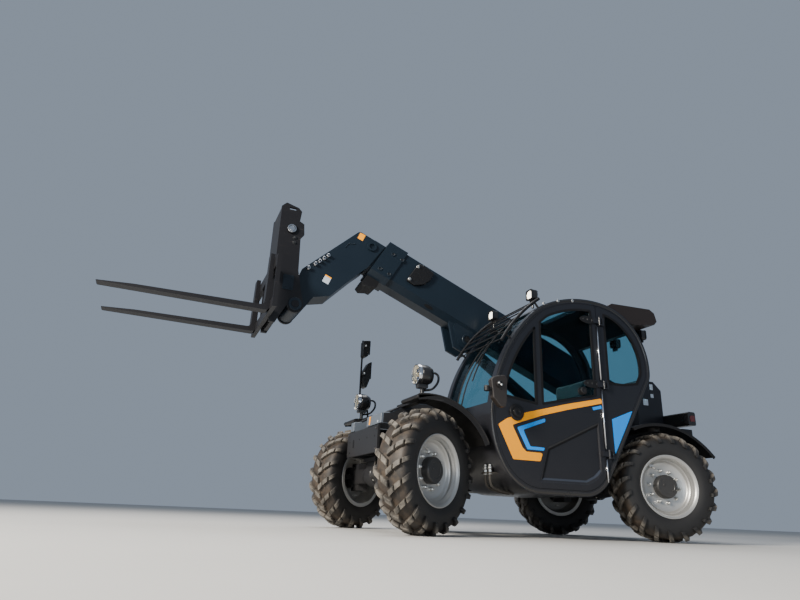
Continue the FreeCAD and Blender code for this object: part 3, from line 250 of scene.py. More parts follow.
def cab_side(inset, steps=14):
    """The cab's side outline in (x, z), an arc or a straight line between each two corners."""
    points = []
    for k, (x, z, radius) in enumerate(CAB_SIDE):
        start = np.array(CAB_SIDE[k - 1][:2])
        end = np.array((x, z))
        t = np.linspace(0, 1, steps, endpoint=False)[:, None]
        if radius is None:
            points.append(start + (end - start) * t)
            continue
        chord = end - start
        left = np.array((-chord[1], chord[0])) / np.linalg.norm(chord)
        middle = (start + end) / 2 + left * math.sqrt(radius ** 2 - chord @ chord / 4)
        first, last = (math.atan2(*(p - middle)[::-1]) for p in (start, end))
        turn = first + ((last - first) % (2 * math.pi)) * t
        points.append(middle + radius * np.concatenate([np.cos(turn), np.sin(turn)], axis=1))
    return widened(np.concatenate(points), -inset)


def boom_matrix():
    """The boom's own frame: along the boom, across it and up from its line."""
    pivot = JOINTS["boom_lift"]["pos_m"]
    cos, sin = math.cos(BOOM_ANGLE), math.sin(BOOM_ANGLE)
    return Matrix(((cos, 0, -sin, pivot[0]), (0, 1, 0, 0), (sin, 0, cos, pivot[2]), (0, 0, 0, 1)))


BOOM = boom_matrix()


def wheel_matrix(corner):
    """A wheel's own frame: its Y axis points outboard along the spin axis."""
    joint = JOINTS[f"{corner}_spin"]
    out = Vector(joint["axis"]).normalized()
    if corner.endswith("right"):
        out = -out
    up = Vector((0, 0, 1))
    place = Matrix((out.cross(up), out, up)).transposed().to_4x4()
    place.translation = Vector(joint["pos_m"])
    return place


# Shader groups that several materials share

def shader_group(name, inputs, outputs):
    """A node group with named inputs and outputs; colours are four numbers, values are one."""
    tree = bpy.data.node_groups.new(name, "ShaderNodeTree")
    for label, value in inputs.items():
        kind = "NodeSocketColor" if isinstance(value, tuple) else "NodeSocketFloat"
        socket = tree.interface.new_socket(name=label, in_out="INPUT", socket_type=kind)
        socket.default_value = value
    for label, kind in outputs.items():
        tree.interface.new_socket(name=label, in_out="OUTPUT", socket_type=kind)
    return tree, tree.nodes.new("NodeGroupInput").outputs, tree.nodes.new("NodeGroupOutput").inputs


def add(tree, kind, **values):
    """A node with its plain settings, and its inputs set or linked by name."""
    node = tree.nodes.new(kind)
    for label, value in values.items():
        if hasattr(node, label):
            setattr(node, label, value)
            continue
        socket = node.inputs[label.replace("_", " ")]
        if hasattr(value, "is_output"):
            tree.links.new(value, socket)
        else:
            socket.default_value = value
    return node


def in_place(tree):
    """The piece's own coordinates."""
    return add(tree, "ShaderNodeTexCoord").outputs["Object"]


def noise(tree, **values):
    """Noise on the piece's own coordinates."""
    values.setdefault("Vector", in_place(tree))
    return add(tree, "ShaderNodeTexNoise", **values).outputs["Fac"]


def maths(tree, operation, first, second, clamp=False):
    node = add(tree, "ShaderNodeMath", operation=operation, use_clamp=clamp)
    for socket, value in zip(node.inputs, (first, second)):
        if hasattr(value, "is_output"):
            tree.links.new(value, socket)
        else:
            socket.default_value = value
    return node.outputs[0]


def mixed(tree, factor, first, second):
    node = add(tree, "ShaderNodeMix", data_type="RGBA")
    for socket, value in zip((node.inputs[0], node.inputs[6], node.inputs[7]), (factor, first, second)):
        if hasattr(value, "is_output"):
            tree.links.new(value, socket)
        else:
            socket.default_value = (*value[:3], 1)
    return node.outputs[2]


def dust_group():
    """Dust that thickens towards the ground and gathers in patches, over a base colour."""
    tree, given, made = shader_group(
        "settled_dust",
        {"Colour": (0.5, 0.5, 0.5, 1.0), "Dust Colour": (0.30, 0.25, 0.19, 1.0), "Amount": 0.4, "Height": 1.2,
         "Patch Scale": 3.0},
        {"Colour": "NodeSocketColor", "Mask": "NodeSocketFloat"})
    split = add(tree, "ShaderNodeSeparateXYZ", Vector=in_place(tree))
    low = maths(tree, "DIVIDE", split.outputs["Z"], given["Height"])
    fade = maths(tree, "SUBTRACT", 1.0, low, clamp=True)
    patches = noise(tree, Detail=8.0, Roughness=0.65, Scale=given["Patch Scale"])
    grit = noise(tree, Scale=90.0, Detail=4.0, Roughness=0.7)
    spots = maths(tree, "MULTIPLY", maths(tree, "MULTIPLY", patches, grit), 4.2)
    mask = maths(tree, "MULTIPLY", maths(tree, "MULTIPLY", fade, given["Amount"]), spots, clamp=True)
    tree.links.new(mixed(tree, mask, given["Colour"], given["Dust Colour"]), made["Colour"])
    tree.links.new(mask, made["Mask"])
    return tree


def grain_group():
    """A fine bump from two sizes of noise, for orange peel, moulded grain or cast skin."""
    tree, given, made = shader_group(
        "fine_grain", {"Scale": 400.0, "Strength": 0.1, "Broad Scale": 12.0}, {"Normal": "NodeSocketVector"})
    fine = noise(tree, Detail=2.0, Scale=given["Scale"])
    broad = noise(tree, Detail=1.0, Scale=given["Broad Scale"])
    height = maths(tree, "ADD", fine, maths(tree, "MULTIPLY", broad, 1.5))
    bump = add(tree, "ShaderNodeBump", Distance=0.001, Strength=given["Strength"], Height=height)
    tree.links.new(bump.outputs["Normal"], made["Normal"])
    return tree


def scuff_group():
    """Thin scratches and rubbed spots: stretched noise cut at a high level."""
    tree, given, made = shader_group("scuffs", {"Amount": 0.5, "Scale": 8.0}, {"Mask": "NodeSocketFloat"})
    stretch = add(tree, "ShaderNodeMapping", Scale=(0.35, 1.0, 5.0), Rotation=(0.3, 0.5, 0.2),
                  Vector=in_place(tree))
    lines = noise(tree, Detail=6.0, Roughness=0.75, Vector=stretch.outputs["Vector"], Scale=given["Scale"])
    high = maths(tree, "MULTIPLY", maths(tree, "SUBTRACT", lines, 0.62), 9.0, clamp=True)
    tree.links.new(maths(tree, "MULTIPLY", high, given["Amount"]), made["Mask"])
    return tree


DUST = dust_group()
GRAIN = grain_group()
SCUFFS = scuff_group()
M = {}


def use(tree, group, **values):
    node = tree.nodes.new("ShaderNodeGroup")
    node.node_tree = group
    for label, value in values.items():
        socket = node.inputs[label.replace("_", " ")]
        socket.default_value = (*value, 1) if isinstance(value, tuple) else value
    return node


def new_material(key, name, **settings):
    """A material kept under a key, its tree and its shader, with plain settings of the shader."""
    M[key] = bpy.data.materials.new(name or key)
    M[key].use_nodes = True
    tree = M[key].node_tree
    shader = tree.nodes["Principled BSDF"].inputs
    for label, value in settings.items():
        shader[label.replace("_", " ")].default_value = value
    return tree, shader


def finish_with(key, colour, rough, name=None, metal=0.0, coat=0.0, dust=0.3, dust_height=1.3, grain=400.0,
                strength=0.06, scuff=0.3, scuff_colour=(0.10, 0.10, 0.105), tint=0.15,
                dust_colour=(0.30, 0.25, 0.19), gloss=0.5):
    """A finish with its own colour drift, scuffs, settled dust and fine grain."""
    tree, shader = new_material(key, name, Metallic=metal, Coat_Weight=coat, Coat_Roughness=0.12,
                                Specular_IOR_Level=gloss)
    drift = noise(tree, Scale=2.2, Detail=5.0, Roughness=0.6)
    shade = tuple(c * (1 - tint) for c in colour)
    light = tuple(min(1.0, c * (1 + tint)) for c in colour)
    scuffs = use(tree, SCUFFS, Amount=scuff)
    base = mixed(tree, scuffs.outputs["Mask"], mixed(tree, drift, shade, light), scuff_colour)
    dusted = use(tree, DUST, Dust_Colour=dust_colour, Amount=dust, Height=dust_height)
    tree.links.new(base, dusted.inputs["Colour"])
    tree.links.new(dusted.outputs["Colour"], shader["Base Color"])
    shine = maths(tree, "ADD", maths(tree, "MULTIPLY", drift, 0.16), rough - 0.08)
    shine = maths(tree, "ADD", shine, maths(tree, "MULTIPLY", dusted.outputs["Mask"], 0.4), clamp=True)
    tree.links.new(shine, shader["Roughness"])
    skin = use(tree, GRAIN, Scale=grain, Strength=strength)
    tree.links.new(skin.outputs["Normal"], shader["Normal"])
    return tree, shader


def glazing(key, colour, rough=0.02):
    """Clear tinted glass with a faint film of dust."""
    tree, shader = new_material(key, key, Metallic=0.0, Transmission_Weight=1.0, IOR=1.12)
    haze = noise(tree, Scale=3.0, Detail=8.0, Roughness=0.7)
    tree.links.new(mixed(tree, haze, tuple(c * 0.93 for c in colour), colour), shader["Base Color"])
    tree.links.new(maths(tree, "ADD", maths(tree, "MULTIPLY", haze, 0.05), rough), shader["Roughness"])


def woven(key, colour):
    """Seat cloth: a fine over-and-under weave with fluff and colour drift."""
    tree, shader = finish_with(key, colour, 0.85, dust=0.05, grain=900.0, strength=0.2, scuff=0.0)
    shader["Sheen Weight"].default_value = 0.4
    threads = add(tree, "ShaderNodeTexWave", Scale=260.0, Distortion=1.2, Detail=1.0,
                  bands_direction="DIAGONAL", Vector=in_place(tree))
    bump = add(tree, "ShaderNodeBump", Strength=0.35, Distance=0.0012, Height=threads.outputs["Fac"])
    tree.links.new(bump.outputs["Normal"], shader["Normal"])


def tyre_rubber(key):
    """Black rubber with brown dust on the lugs and between them; between the lugs the dust is darkened as painted
    shade.
    """
    tree, shader = finish_with(key, (0.0060, 0.0062, 0.0072), 0.62, dust=0.02, dust_height=1.5, grain=260.0,
                               strength=0.35, scuff=0.2, scuff_colour=(0.030, 0.026, 0.022), tint=0.3,
                               dust_colour=(0.15, 0.11, 0.075))
    base = shader["Base Color"].links[0].from_socket
    tread, top = (add(tree, "ShaderNodeAttribute", attribute_name=name).outputs["Fac"]
                  for name in ("tread", "lug_top"))
    mottle = noise(tree, Scale=14.0, Detail=7.0, Roughness=0.7)
    # Between the lugs: brown dust, darkened as painted shade of the valleys
    valley_dust_and_painted_shade = mixed(tree, mottle, (0.020, 0.014, 0.009), (0.105, 0.072, 0.045))
    worn = mixed(tree, mottle, (0.085, 0.076, 0.064), (0.290, 0.255, 0.210))
    cover = maths(tree, "MULTIPLY", maths(tree, "SUBTRACT", mottle, 0.30), 3.2, clamp=True)
    cover = maths(tree, "MULTIPLY", maths(tree, "MULTIPLY", cover, tread), 0.75)
    tree.links.new(mixed(tree, cover, base, mixed(tree, top, valley_dust_and_painted_shade, worn)), shader["Base Color"])


def glowing(key, colour, strength):
    shader = finish_with(key, colour, 0.15, coat=0.6, dust=0.0, scuff=0.0, grain=60.0, strength=0.1)[1]
    shader["Emission Color"].default_value = (*colour, 1)
    shader["Emission Strength"].default_value = strength


finish_with("body_paint", (0.009, 0.010, 0.014), 0.34, coat=0.15, dust=0.03, scuff=0.04, gloss=0.35)
finish_with("boom_paint", (0.006, 0.012, 0.020), 0.42, coat=0.05, gloss=0.25, dust=0.0, scuff=0.04, strength=0.08)
finish_with("frame_paint", (0.010, 0.011, 0.014), 0.46, gloss=0.30, dust=0.04, scuff=0.1, strength=0.12)
finish_with("rim_silver", (0.50, 0.50, 0.49), 0.34, metal=0.75, coat=0.2, dust=0.12, scuff_colour=(0.30, 0.27, 0.24),
            tint=0.06)
tyre_rubber("tyre")
finish_with("rod_chrome", (0.72, 0.73, 0.75), 0.14, metal=1.0, dust=0.05, scuff=0.1, tint=0.03, strength=0.01)
finish_with("cylinder_paint", (0.012, 0.013, 0.015), 0.38, coat=0.1, dust=0.06)
finish_with("pad_plastic", (0.20, 0.19, 0.16), 0.6, dust=0.1)
finish_with("black_plastic", (0.006, 0.006, 0.007), 0.44, gloss=0.30, dust=0.03, grain=700.0, strength=0.3)
finish_with("trim_plastic", (0.030, 0.031, 0.034), 0.6, dust=0.1, grain=600.0, strength=0.3)
woven("seat_cloth", (0.030, 0.031, 0.036))
glazing("glazing", (0.48, 0.76, 0.84))
# Nose cover: dark grey with a blue tint that is a painted reflection of the sky
finish_with("cover_grey", (0.060, 0.085, 0.120), 0.38, coat=0.3, dust=0.35)
finish_with("lamp_plastic", (0.010, 0.010, 0.011), 0.28, coat=0.2, dust=0.05)
finish_with("fork_steel", (0.007, 0.007, 0.009), 0.46, gloss=0.25, dust=0.0, scuff=0.2,
            scuff_colour=(0.16, 0.14, 0.12))
finish_with("battery_case", (0.05, 0.06, 0.08), 0.6, dust=0.1)
finish_with("orange", ORANGE, 0.5, "orange_stripe", gloss=0.15, dust=0.0, scuff=0.0, tint=0.04)
finish_with("blue", BLUE, 0.5, "blue_stripe", gloss=0.15, dust=0.0, scuff=0.0, tint=0.05)
# Black rubber for seals, rubbers and seams; also worn as painted shade on the door pocket's edges, in holes, the oval
# recess, the lift lug's pin ends and the hose tray
finish_with("seal", (0.004, 0.004, 0.005), 0.6, "black_rubber_and_painted_shade", gloss=0.25, dust=0.0, grain=500.0, strength=0.15)
finish_with("zinc", (0.58, 0.58, 0.56), 0.30, metal=1.0, dust=0.1, scuff=0.2, tint=0.05)
finish_with("label", (0.46, 0.52, 0.60), 0.5, "blank_label", dust=0.1, scuff=0.05, tint=0.03)
glazing("lens", (0.93, 0.95, 0.96), 0.04)
finish_with("reflector", (0.88, 0.78, 0.60), 0.30, metal=0.8, dust=0.0, scuff=0.0, tint=0.02)
glowing("bulb", (1.0, 0.93, 0.80), 2.5)
# Painted sky reflection: the lighter glossy blue-grey of the door pocket's sill skin
finish_with("painted_sky_reflection_on_sill", (0.030, 0.036, 0.050), 0.30, coat=0.4, dust=0.0)
finish_with("lamp_eye", (0.16, 0.18, 0.24), 0.16, metal=0.7, coat=0.6, dust=0.0)
finish_with("red_lens", (0.090, 0.006, 0.008), 0.18, coat=0.5, dust=0.1)
finish_with("amber_lens", (0.75, 0.22, 0.010), 0.18, coat=0.6, dust=0.1)
finish_with("mirror", (0.80, 0.82, 0.84), 0.03, "mirror_face", metal=1.0, dust=0.0, scuff=0.0, tint=0.01, strength=0.0)
finish_with("mirror_shell", (0.014, 0.011, 0.010), 0.44, dust=0.05, grain=700.0, strength=0.2)
finish_with("hood_brown", (0.016, 0.012, 0.011), 0.42, gloss=0.35, dust=0.05, grain=500.0, strength=0.15)
finish_with("hose", (0.012, 0.012, 0.012), 0.55, "hose_rubber", dust=0.15, grain=900.0, strength=0.25)

# What a solid wears where its slot's own finish doesn't do
NODE_FINISH = {"roof_rear_hood": "hood_brown", "carriage": "fork_steel", "fork_frame": "fork_steel"}

for row in frame["record"]["subparts"]:
    thing = frame["nodes"][row["node"]]
    finish = M[NODE_FINISH.get(row["node"], row["material_slot"])]
    if not thing.material_slots:
        thing.data.materials.append(finish)
    for holder in thing.material_slots:
        holder.material = finish


# Pieces

def new_object(name, mesh, finish):
    thing = bpy.data.objects.new(name, mesh)
    bpy.context.scene.collection.objects.link(thing)
    mesh.materials.clear()
    mesh.materials.append(M[finish])
    return thing


def piece(name, shapes, finish, body="chassis", slot=None, sharp=32, place=None, closed=True):
    """Shapes as one visible piece on a body, smooth but for edges sharper than an angle, or all flat.

    The shapes may stand in a frame of their own. Seams are closed and normals turned outwards, unless told."""
    points, faces = stacked(*shapes)
    if place is not None:
        points, faces = moved((points, faces), place)
    mesh = bpy.data.meshes.new(name)
    mesh.from_pydata(points.tolist(), [], faces)
    mesh.validate()
    mesh.update()
    mesh.polygons.foreach_set("use_smooth", np.full(len(mesh.polygons), sharp is not None))
    thing = new_object(name, mesh, finish)
    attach(thing, body)
    if closed:
        work = bmesh.new()
        work.from_mesh(mesh)
        bmesh.ops.remove_doubles(work, verts=work.verts, dist=0.00002)
        bmesh.ops.recalc_face_normals(work, faces=work.faces)
        work.to_mesh(mesh)
        work.free()
    if sharp is not None:
        mesh.set_sharp_from_angle(angle=math.radians(sharp))
    return thing


def bevelled(thing, width, segments=2, angle=40):
    """Small round edges wherever two faces meet at more than an angle."""
    bevel = thing.modifiers.new("edges", "BEVEL")
    bevel.width = width
    bevel.segments = segments
    bevel.limit_method = "ANGLE"
    bevel.angle_limit = math.radians(angle)
    bevel.harden_normals = False
    return thing


# Tyres and wheels

# Half of the tyre's section as (across, radius) points from the tread's middle to the bead
SECTION = np.array([(0, 0.4095), (0.040, 0.409), (0.078, 0.4065), (0.101, 0.400), (0.117, 0.389), (0.1275, 0.372),
                    (0.1335, 0.350), (0.1365, 0.328), (0.1365, 0.306), (0.134, 0.286), (0.129, 0.268),
                    (0.1225, 0.256), (0.1165, 0.248), (0.1135, 0.2395), (0.1135, 0.230)])


def along_section(reach):
    """Points and outward normals of the section at given lengths from the tread's middle."""
    steps = np.linalg.norm(np.diff(SECTION, axis=0), axis=1)
    length = np.concatenate([[0], np.cumsum(steps)])
    slope = np.gradient(SECTION, length, axis=0)
    across, radius, *tangent = (np.interp(reach, length, row) for row in (*SECTION.T, *slope.T))
    tangent = np.stack(tangent, axis=-1)
    tangent /= np.linalg.norm(tangent, axis=-1, keepdims=True)
    return across, radius, np.stack([-tangent[..., 1], tangent[..., 0]], axis=-1)


def lug_block(start, end, side, lean, turn):
    """One block of a lug: rings along the section from start to end, six points across each ring.

    A ring's point is base + normal * height; the end rings have no height, which closes the block."""
    share = np.array([0.0, 0.03, 0.10, 0.3, 0.5, 0.7, 0.9, 0.97, 1.0])
    rise = np.array([-0.15, 0.80, 1.0, 1.0, 1.0, 1.0, 1.0, 0.80, -0.15])
    side_step = np.array([-1.16, -1.02, -0.93, 0.93, 1.02, 1.16])
    level = np.array([-0.20, 0.93, 1.0, 1.0, 0.93, -0.20])
    reach = start + (end - start) * share
    across, radius, normal = along_section(np.abs(reach))
    fade = np.clip((reach - 0.125) / 0.07, 0, 1)
    height = rise * (LUG_HEIGHT * (1 - fade) + LUG_END_HEIGHT * fade)
    half = 0.0205 - 0.004 * np.clip(reach / 0.2, 0, 1)
    slant = lean * (-0.052 + 0.104 * np.clip((reach + 0.006) / 0.142, 0, 1.15))
    lift = height[:, None] * level[None, :]
    out_radius = radius[:, None] + normal[:, None, 1] * lift
    out_across = across[:, None] + normal[:, None, 0] * lift
    angle = turn + (slant[:, None] + half[:, None] * side_step[None, :]) / TYRE_TOP
    points = np.stack([out_radius * np.sin(angle), side * out_across * np.sign(reach + 1e-9)[:, None],
                       out_radius * np.cos(angle)], axis=-1)
    return points.reshape(-1, 3), grid_faces(len(share), len(level), False, True)


def tyre_shape(lean):
    """Carcass turned from its section with fine rings on the sidewall, and two rows of split lugs."""
    ribs = 0.0009 * np.sin(np.linspace(0, 1, len(SECTION)) * 60) * (SECTION[:, 1] < 0.37)
    half = np.stack([SECTION[:, 1], SECTION[:, 0] + ribs], axis=-1)
    parts = [turned(np.concatenate([half[::-1] * (1, -1), half[1:]]), 120, False)]
    for side in (1, -1):
        for k in range(LUG_COUNT):
            turn = 2 * np.pi / LUG_COUNT * (k + (0.5 if side < 0 else 0))
            for start, end in ((-0.004, 0.050), (0.0545, 0.104), (0.1085, 0.168)):
                parts.append(lug_block(start, end, side, lean, turn))
    return stacked(*parts)


def rim_shape():
    """The rim's turned wall: flanges, bead seats, well and the two soft steps down to the disc."""
    flange = [(BEAD - 0.007, -RIM_HALF), (FLANGE - 0.002, -RIM_HALF), (FLANGE, -RIM_HALF + 0.003),
              (FLANGE - 0.002, -RIM_HALF + 0.008), (BEAD + 0.001, -RIM_HALF + 0.012)]
    outer = [(BEAD - 0.002, -0.080), (0.206, -0.060), (0.206, 0.030), (BEAD - 0.002, 0.066), (BEAD + 0.001, 0.113),
             (FLANGE - 0.002, 0.117), (FLANGE, 0.121), (FLANGE - 0.002, RIM_HALF)]
    inner = [(FLANGE - 0.006, RIM_HALF + 0.0005), (FLANGE - 0.011, RIM_HALF - 0.0025), (0.2340, 0.1185),
             (0.2265, 0.1125), (0.2225, 0.104), (0.2205, 0.094), (0.2150, 0.088), (0.2135, 0.078), (0.2120, 0.066),
             (0.2020, 0.058), (0.1990, 0.046), (0.192, 0.040), (0.183, 0.0365), (0.172, 0.034),
             (0.166, DISC_OUT + 0.012), (0.094, DISC_OUT + 0.012), (0.094, DISC_OUT), (0.168, DISC_OUT),
             (0.190, 0.012), (0.199, -0.050), (0.218, -0.085)]
    return turned(flange + outer + inner, 96)


def hub_shapes():
    """The final drive's cap: a stepped drum with a chamfered face, its plug and its drain screw."""
    front = DISC_OUT + 0.074
    cap = turned([(AXIS_RADIUS, DISC_OUT), (0.094, DISC_OUT), (0.094, front - 0.016), (0.090, front - 0.008),
                  (0.083, front), (0.058, front), (0.056, front - 0.002), (AXIS_RADIUS, front - 0.002)], 64)
    return [cap, placed(drum(0.011, 0, 0.006, 0.002, 6), 0.030, front - 0.003, 0.012),
            placed(drum(0.009, 0, 0.005, 0.002, 6), -0.040, front - 0.003, -0.028)]


def nut_shapes(count=10, circle=0.128):
    """Wheel nuts in a ring: a washer, a six-sided bevelled nut and a round stud each."""
    parts = []
    for k in range(count):
        angle = 2 * np.pi * (k + 0.3) / count
        for shape, lift in ((drum(0.0165, 0, 0.004, 0.001, 24), 0), (drum(0.0135, 0, 0.020, 0.003, 6), 0.004),
                            (drum(0.0075, 0, 0.010, 0.0015, 16), 0.022)):
            parts.append(placed(shape, circle * math.sin(angle), DISC_OUT + 0.012 + lift, circle * math.cos(angle)))
    return parts


def valve_shapes():
    """The tyre valve: a thin stem out of the rim's step, with a cap and its small guard."""
    return [bent_tube([(0.115, 0.050, 0.155), (0.112, 0.070, 0.150), (0.106, 0.084, 0.143)], 0.0055, 10),
            tube([(0.106, 0.083, 0.143), (0.099, 0.097, 0.134)], 0.0085, 10),
            slab((0.093, 0.128), (0.150, 0.172), (0.040, 0.066), 0.006)]


def wheels():
    crown = SECTION[:np.argmax(SECTION[:, 0]) + 1]
    for corner in CORNERS:
        at_wheel = {"body": f"{corner}_wheel", "place": wheel_matrix(corner)}
        points, faces = tyre_shape(-1 if corner.endswith("left") else 1)
        tyre = piece(f"{corner}_tyre_skin", [(points, faces)], "tyre", closed=False, **at_wheel)
        radius = np.hypot(points[:, 0], points[:, 2])
        lift = radius - np.interp(np.abs(points[:, 1]), crown[:, 0], crown[:, 1])
        for name, share in (("tread", (radius - 0.372) / 0.034), ("lug_top", (lift - 0.010) / 0.006)):
            values = tyre.data.attributes.new(name, "FLOAT", "POINT")
            values.data.foreach_set("value", np.clip(share, 0, 1))
        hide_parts(f"tyre_{corner}")
        rim = piece(f"{corner}_rim", [rim_shape()], "rim_silver", sharp=38, **at_wheel)
        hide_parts(f"wheel_{corner}")
        for part, shapes, finish in (("hub_cap", hub_shapes(), "cylinder_paint"), ("nuts", nut_shapes(), "zinc"),
                                     ("valve", valve_shapes(), "rim_silver")):
            piece(f"{corner}_{part}", shapes, finish, sharp=30, **at_wheel)


wheels()


# Door and cab graphics, handles and rods

def film(name, outline, finish, body="door", face=CAB_LEFT, radius=0.014):
    """A thin film on a side face, its corners rounded."""
    piece(name, [plate(rounded(outline, radius), face + 0.0001, face + 0.0009)], finish, body, sharp=None)


def door_graphics():
    """The orange band that turns back under the door's front edge, with a blue one inside it."""
    film("orange_stripe", [
        (-1.240, 1.088), (-1.240, 1.047), (-0.899, 0.963), (-0.665, 0.898), (-0.458, 0.827), (-0.384, 0.800),
        (-0.470, 0.639), (-0.500, 0.612), (-0.648, 0.611), (-0.624, 0.549), (-0.385, 0.549), (-0.262, 0.795),
        (-0.340, 0.846), (-0.500, 0.902), (-0.891, 1.007)], "orange")
    film("blue_stripe", [
        (-0.682, 0.876), (-0.682, 0.848), (-0.480, 0.772), (-0.538, 0.653), (-0.668, 0.652), (-0.660, 0.629),
        (-0.510, 0.629), (-0.425, 0.786)], "blue")
    film("blue_line", [(-1.235, 1.031), (-1.235, 1.005), (-1.150, 0.984), (-1.142, 1.007)], "blue", radius=0.003)
    film("blue_wedge", [(-1.338, 0.930), (-1.560, 1.020), (-1.345, 0.640)], "blue", "chassis", CAB_LEFT - 0.004,
         0.006)


def recess_edges():
    """Skins on the sloping edges of the door's lower pocket: matt black ones in front and above, which are painted
    shade, and a glossy blue-grey sill, which is a painted reflection of the sky.
    """
    outer = ((-1.195, 0.500), (-1.135, 0.440), (-1.050, 0.402), (-0.610, 0.400), (-0.688, 0.659), (-1.195, 0.894))
    inner = ((-1.189, 0.526), (-1.123, 0.470), (-1.045, 0.434), (-0.656, 0.432), (-0.722, 0.638), (-1.189, 0.854))
    shapes = []
    for k in range(5):
        edge = ((outer[k], -0.001), (outer[k + 1], -0.001), (inner[k + 1], -0.014), (inner[k], -0.014))
        shell = [(x, CAB_LEFT + depth + lift, z) for lift in (0.0004, 0.0014) for (x, z), depth in edge]
        shapes.append((np.array(shell), [(0, 1, 2, 3), (4, 7, 6, 5), (0, 4, 5, 1), (1, 5, 6, 2), (2, 6, 7, 3),
                                         (3, 7, 4, 0)]))
    # Matt black skins as painted shade on the front and top edges, a blue-grey skin as painted sky reflection on the
    # sill
    piece("painted_shade_on_recess_edges", shapes[3:], "seal", "door", "body_paint")
    piece("painted_sky_reflection_in_recess", shapes[:3], "painted_sky_reflection_on_sill", "door")


def door_fittings():
    """The hinge tube down the door's rear edge, its oval plates, the round lock and the knob."""
    x, y = JOINTS["door_hinge"]["pos_m"][0] + 0.030, CAB_LEFT + 0.010
    tubes = [tube([(x, y, low), (x, y, high)], 0.0065)
             for low, high in ((0.43, 0.605), (0.685, 1.160), (1.240, 1.710))]
    piece("door_edge_rods", tubes, "rod_chrome", "door", sharp=180)
    plates, screws = [], []
    for level in (1.200, 1.750):
        outline = [(0.085 * math.cos(t) - 1.155, level + 0.034 * math.sin(t))
                   for t in np.linspace(0, 2 * np.pi, 28, endpoint=False)]
        plates.append(plate(outline, CAB_LEFT + 0.0005, CAB_LEFT + 0.010))
        screws += [placed(drum(0.008, 0, 0.004, 0.0015, 6), -1.150 + step, CAB_LEFT + 0.010, level)
                   for step in (-0.045, 0.0, 0.045)]
    bevelled(piece("hinge_ovals", plates, "black_plastic", "door", sharp=None), 0.003, 3)
    piece("hinge_screws", screws, "cylinder_paint", "door", "rod_chrome", None)
    piece("door_lock", [placed(drum(0.064, 0, 0.010, 0.004, 48), -0.424, CAB_LEFT, 0.897),
                        placed(drum(0.040, 0, 0.020, 0.006, 48), -0.424, CAB_LEFT + 0.008, 0.897),
                        placed(drum(0.014, 0, 0.014, 0.004, 24), -0.372, CAB_LEFT + 0.006, 0.897)],
          "black_plastic", "door", sharp=180)
    piece("window_knob", [placed(drum(0.032, 0, 0.008, 0.003), -1.050, CAB_LEFT - 0.016, 1.130),
                          placed(drum(0.018, 0, 0.030, 0.004, 24), -1.050, CAB_LEFT - 0.010, 1.130),
                          placed(drum(0.030, 0, 0.014, 0.005), -1.050, CAB_LEFT + 0.018, 1.130)],
          "black_plastic", "door", sharp=180)


door_graphics()
recess_edges()
door_fittings()


# Boom fittings

def boom_fittings():
    """The hose cover on the outer boom with its holes, drawn as black rings of painted shade, and bolts, and the pads'
    adjusting screws.
    """
    face = BOOM_Y + BOOM_FACE
    on_base = {"body": "boom_base", "place": BOOM}
    outline = [(2.600, -0.060), (2.560, 0.150), (2.500, 0.163), (2.380, 0.150), (2.392, 0.060), (2.440, -0.020),
               (2.510, -0.068)]
    cover = piece("hose_cover", [plate(rounded(outline, 0.020), face, face + 0.030)], "black_plastic",
                  slot="cylinder_paint", sharp=30, closed=False, **on_base)
    bevelled(cover, 0.006, 3)
    # Holes: thin black rings on the cover, as painted shade
    holes = []
    for row in range(5):
        for column in range(4):
            along = 2.425 + row * 0.032
            up = 0.128 - column * 0.042 - (row % 2) * 0.018
            if (along - 2.56) ** 2 + (up - 0.12) ** 2 < 0.185 ** 2 and up > -0.03:
                holes.append(placed(drum(0.009, 0, 0.0016, 0.0006, 16, 0.004), along, face + 0.0297, up))
    piece("hose_cover_hole_shade", holes, "seal", slot="cylinder_paint", sharp=180, closed=False, **on_base)
    bolts = []
    for along, up in ((2.553, 0.118), (2.578, -0.040)):
        bolts.append(placed(drum(0.016, 0, 0.004, 0.001, 24), along, face + 0.030, up))
        bolts.append(placed(drum(0.011, 0, 0.012, 0.002, 6), along, face + 0.034, up))
    piece("hose_cover_bolts", bolts, "zinc", sharp=None, closed=False, **on_base)
    rings, centres = [], []
    for along, up in ((2.812, 0.103), (2.714, 0.098), (2.865, -0.099), (2.769, -0.101)):
        for side in (1, -1):
            y = BOOM_Y + side * COLLAR_FACE
            rings.append(placed(drum(0.021, 0, 0.006 * side, 0.0015 * side, 28, 0.012), along, y, up))
            centres.append(placed(drum(0.0125, 0, 0.003 * side, 0.001 * side, 6), along, y, up))
    piece("pad_rings", rings, "boom_paint", sharp=180, **on_base)
    piece("pad_screws", centres, "cylinder_paint", sharp=None, **on_base)


boom_fittings()


# Lamps and mirrors

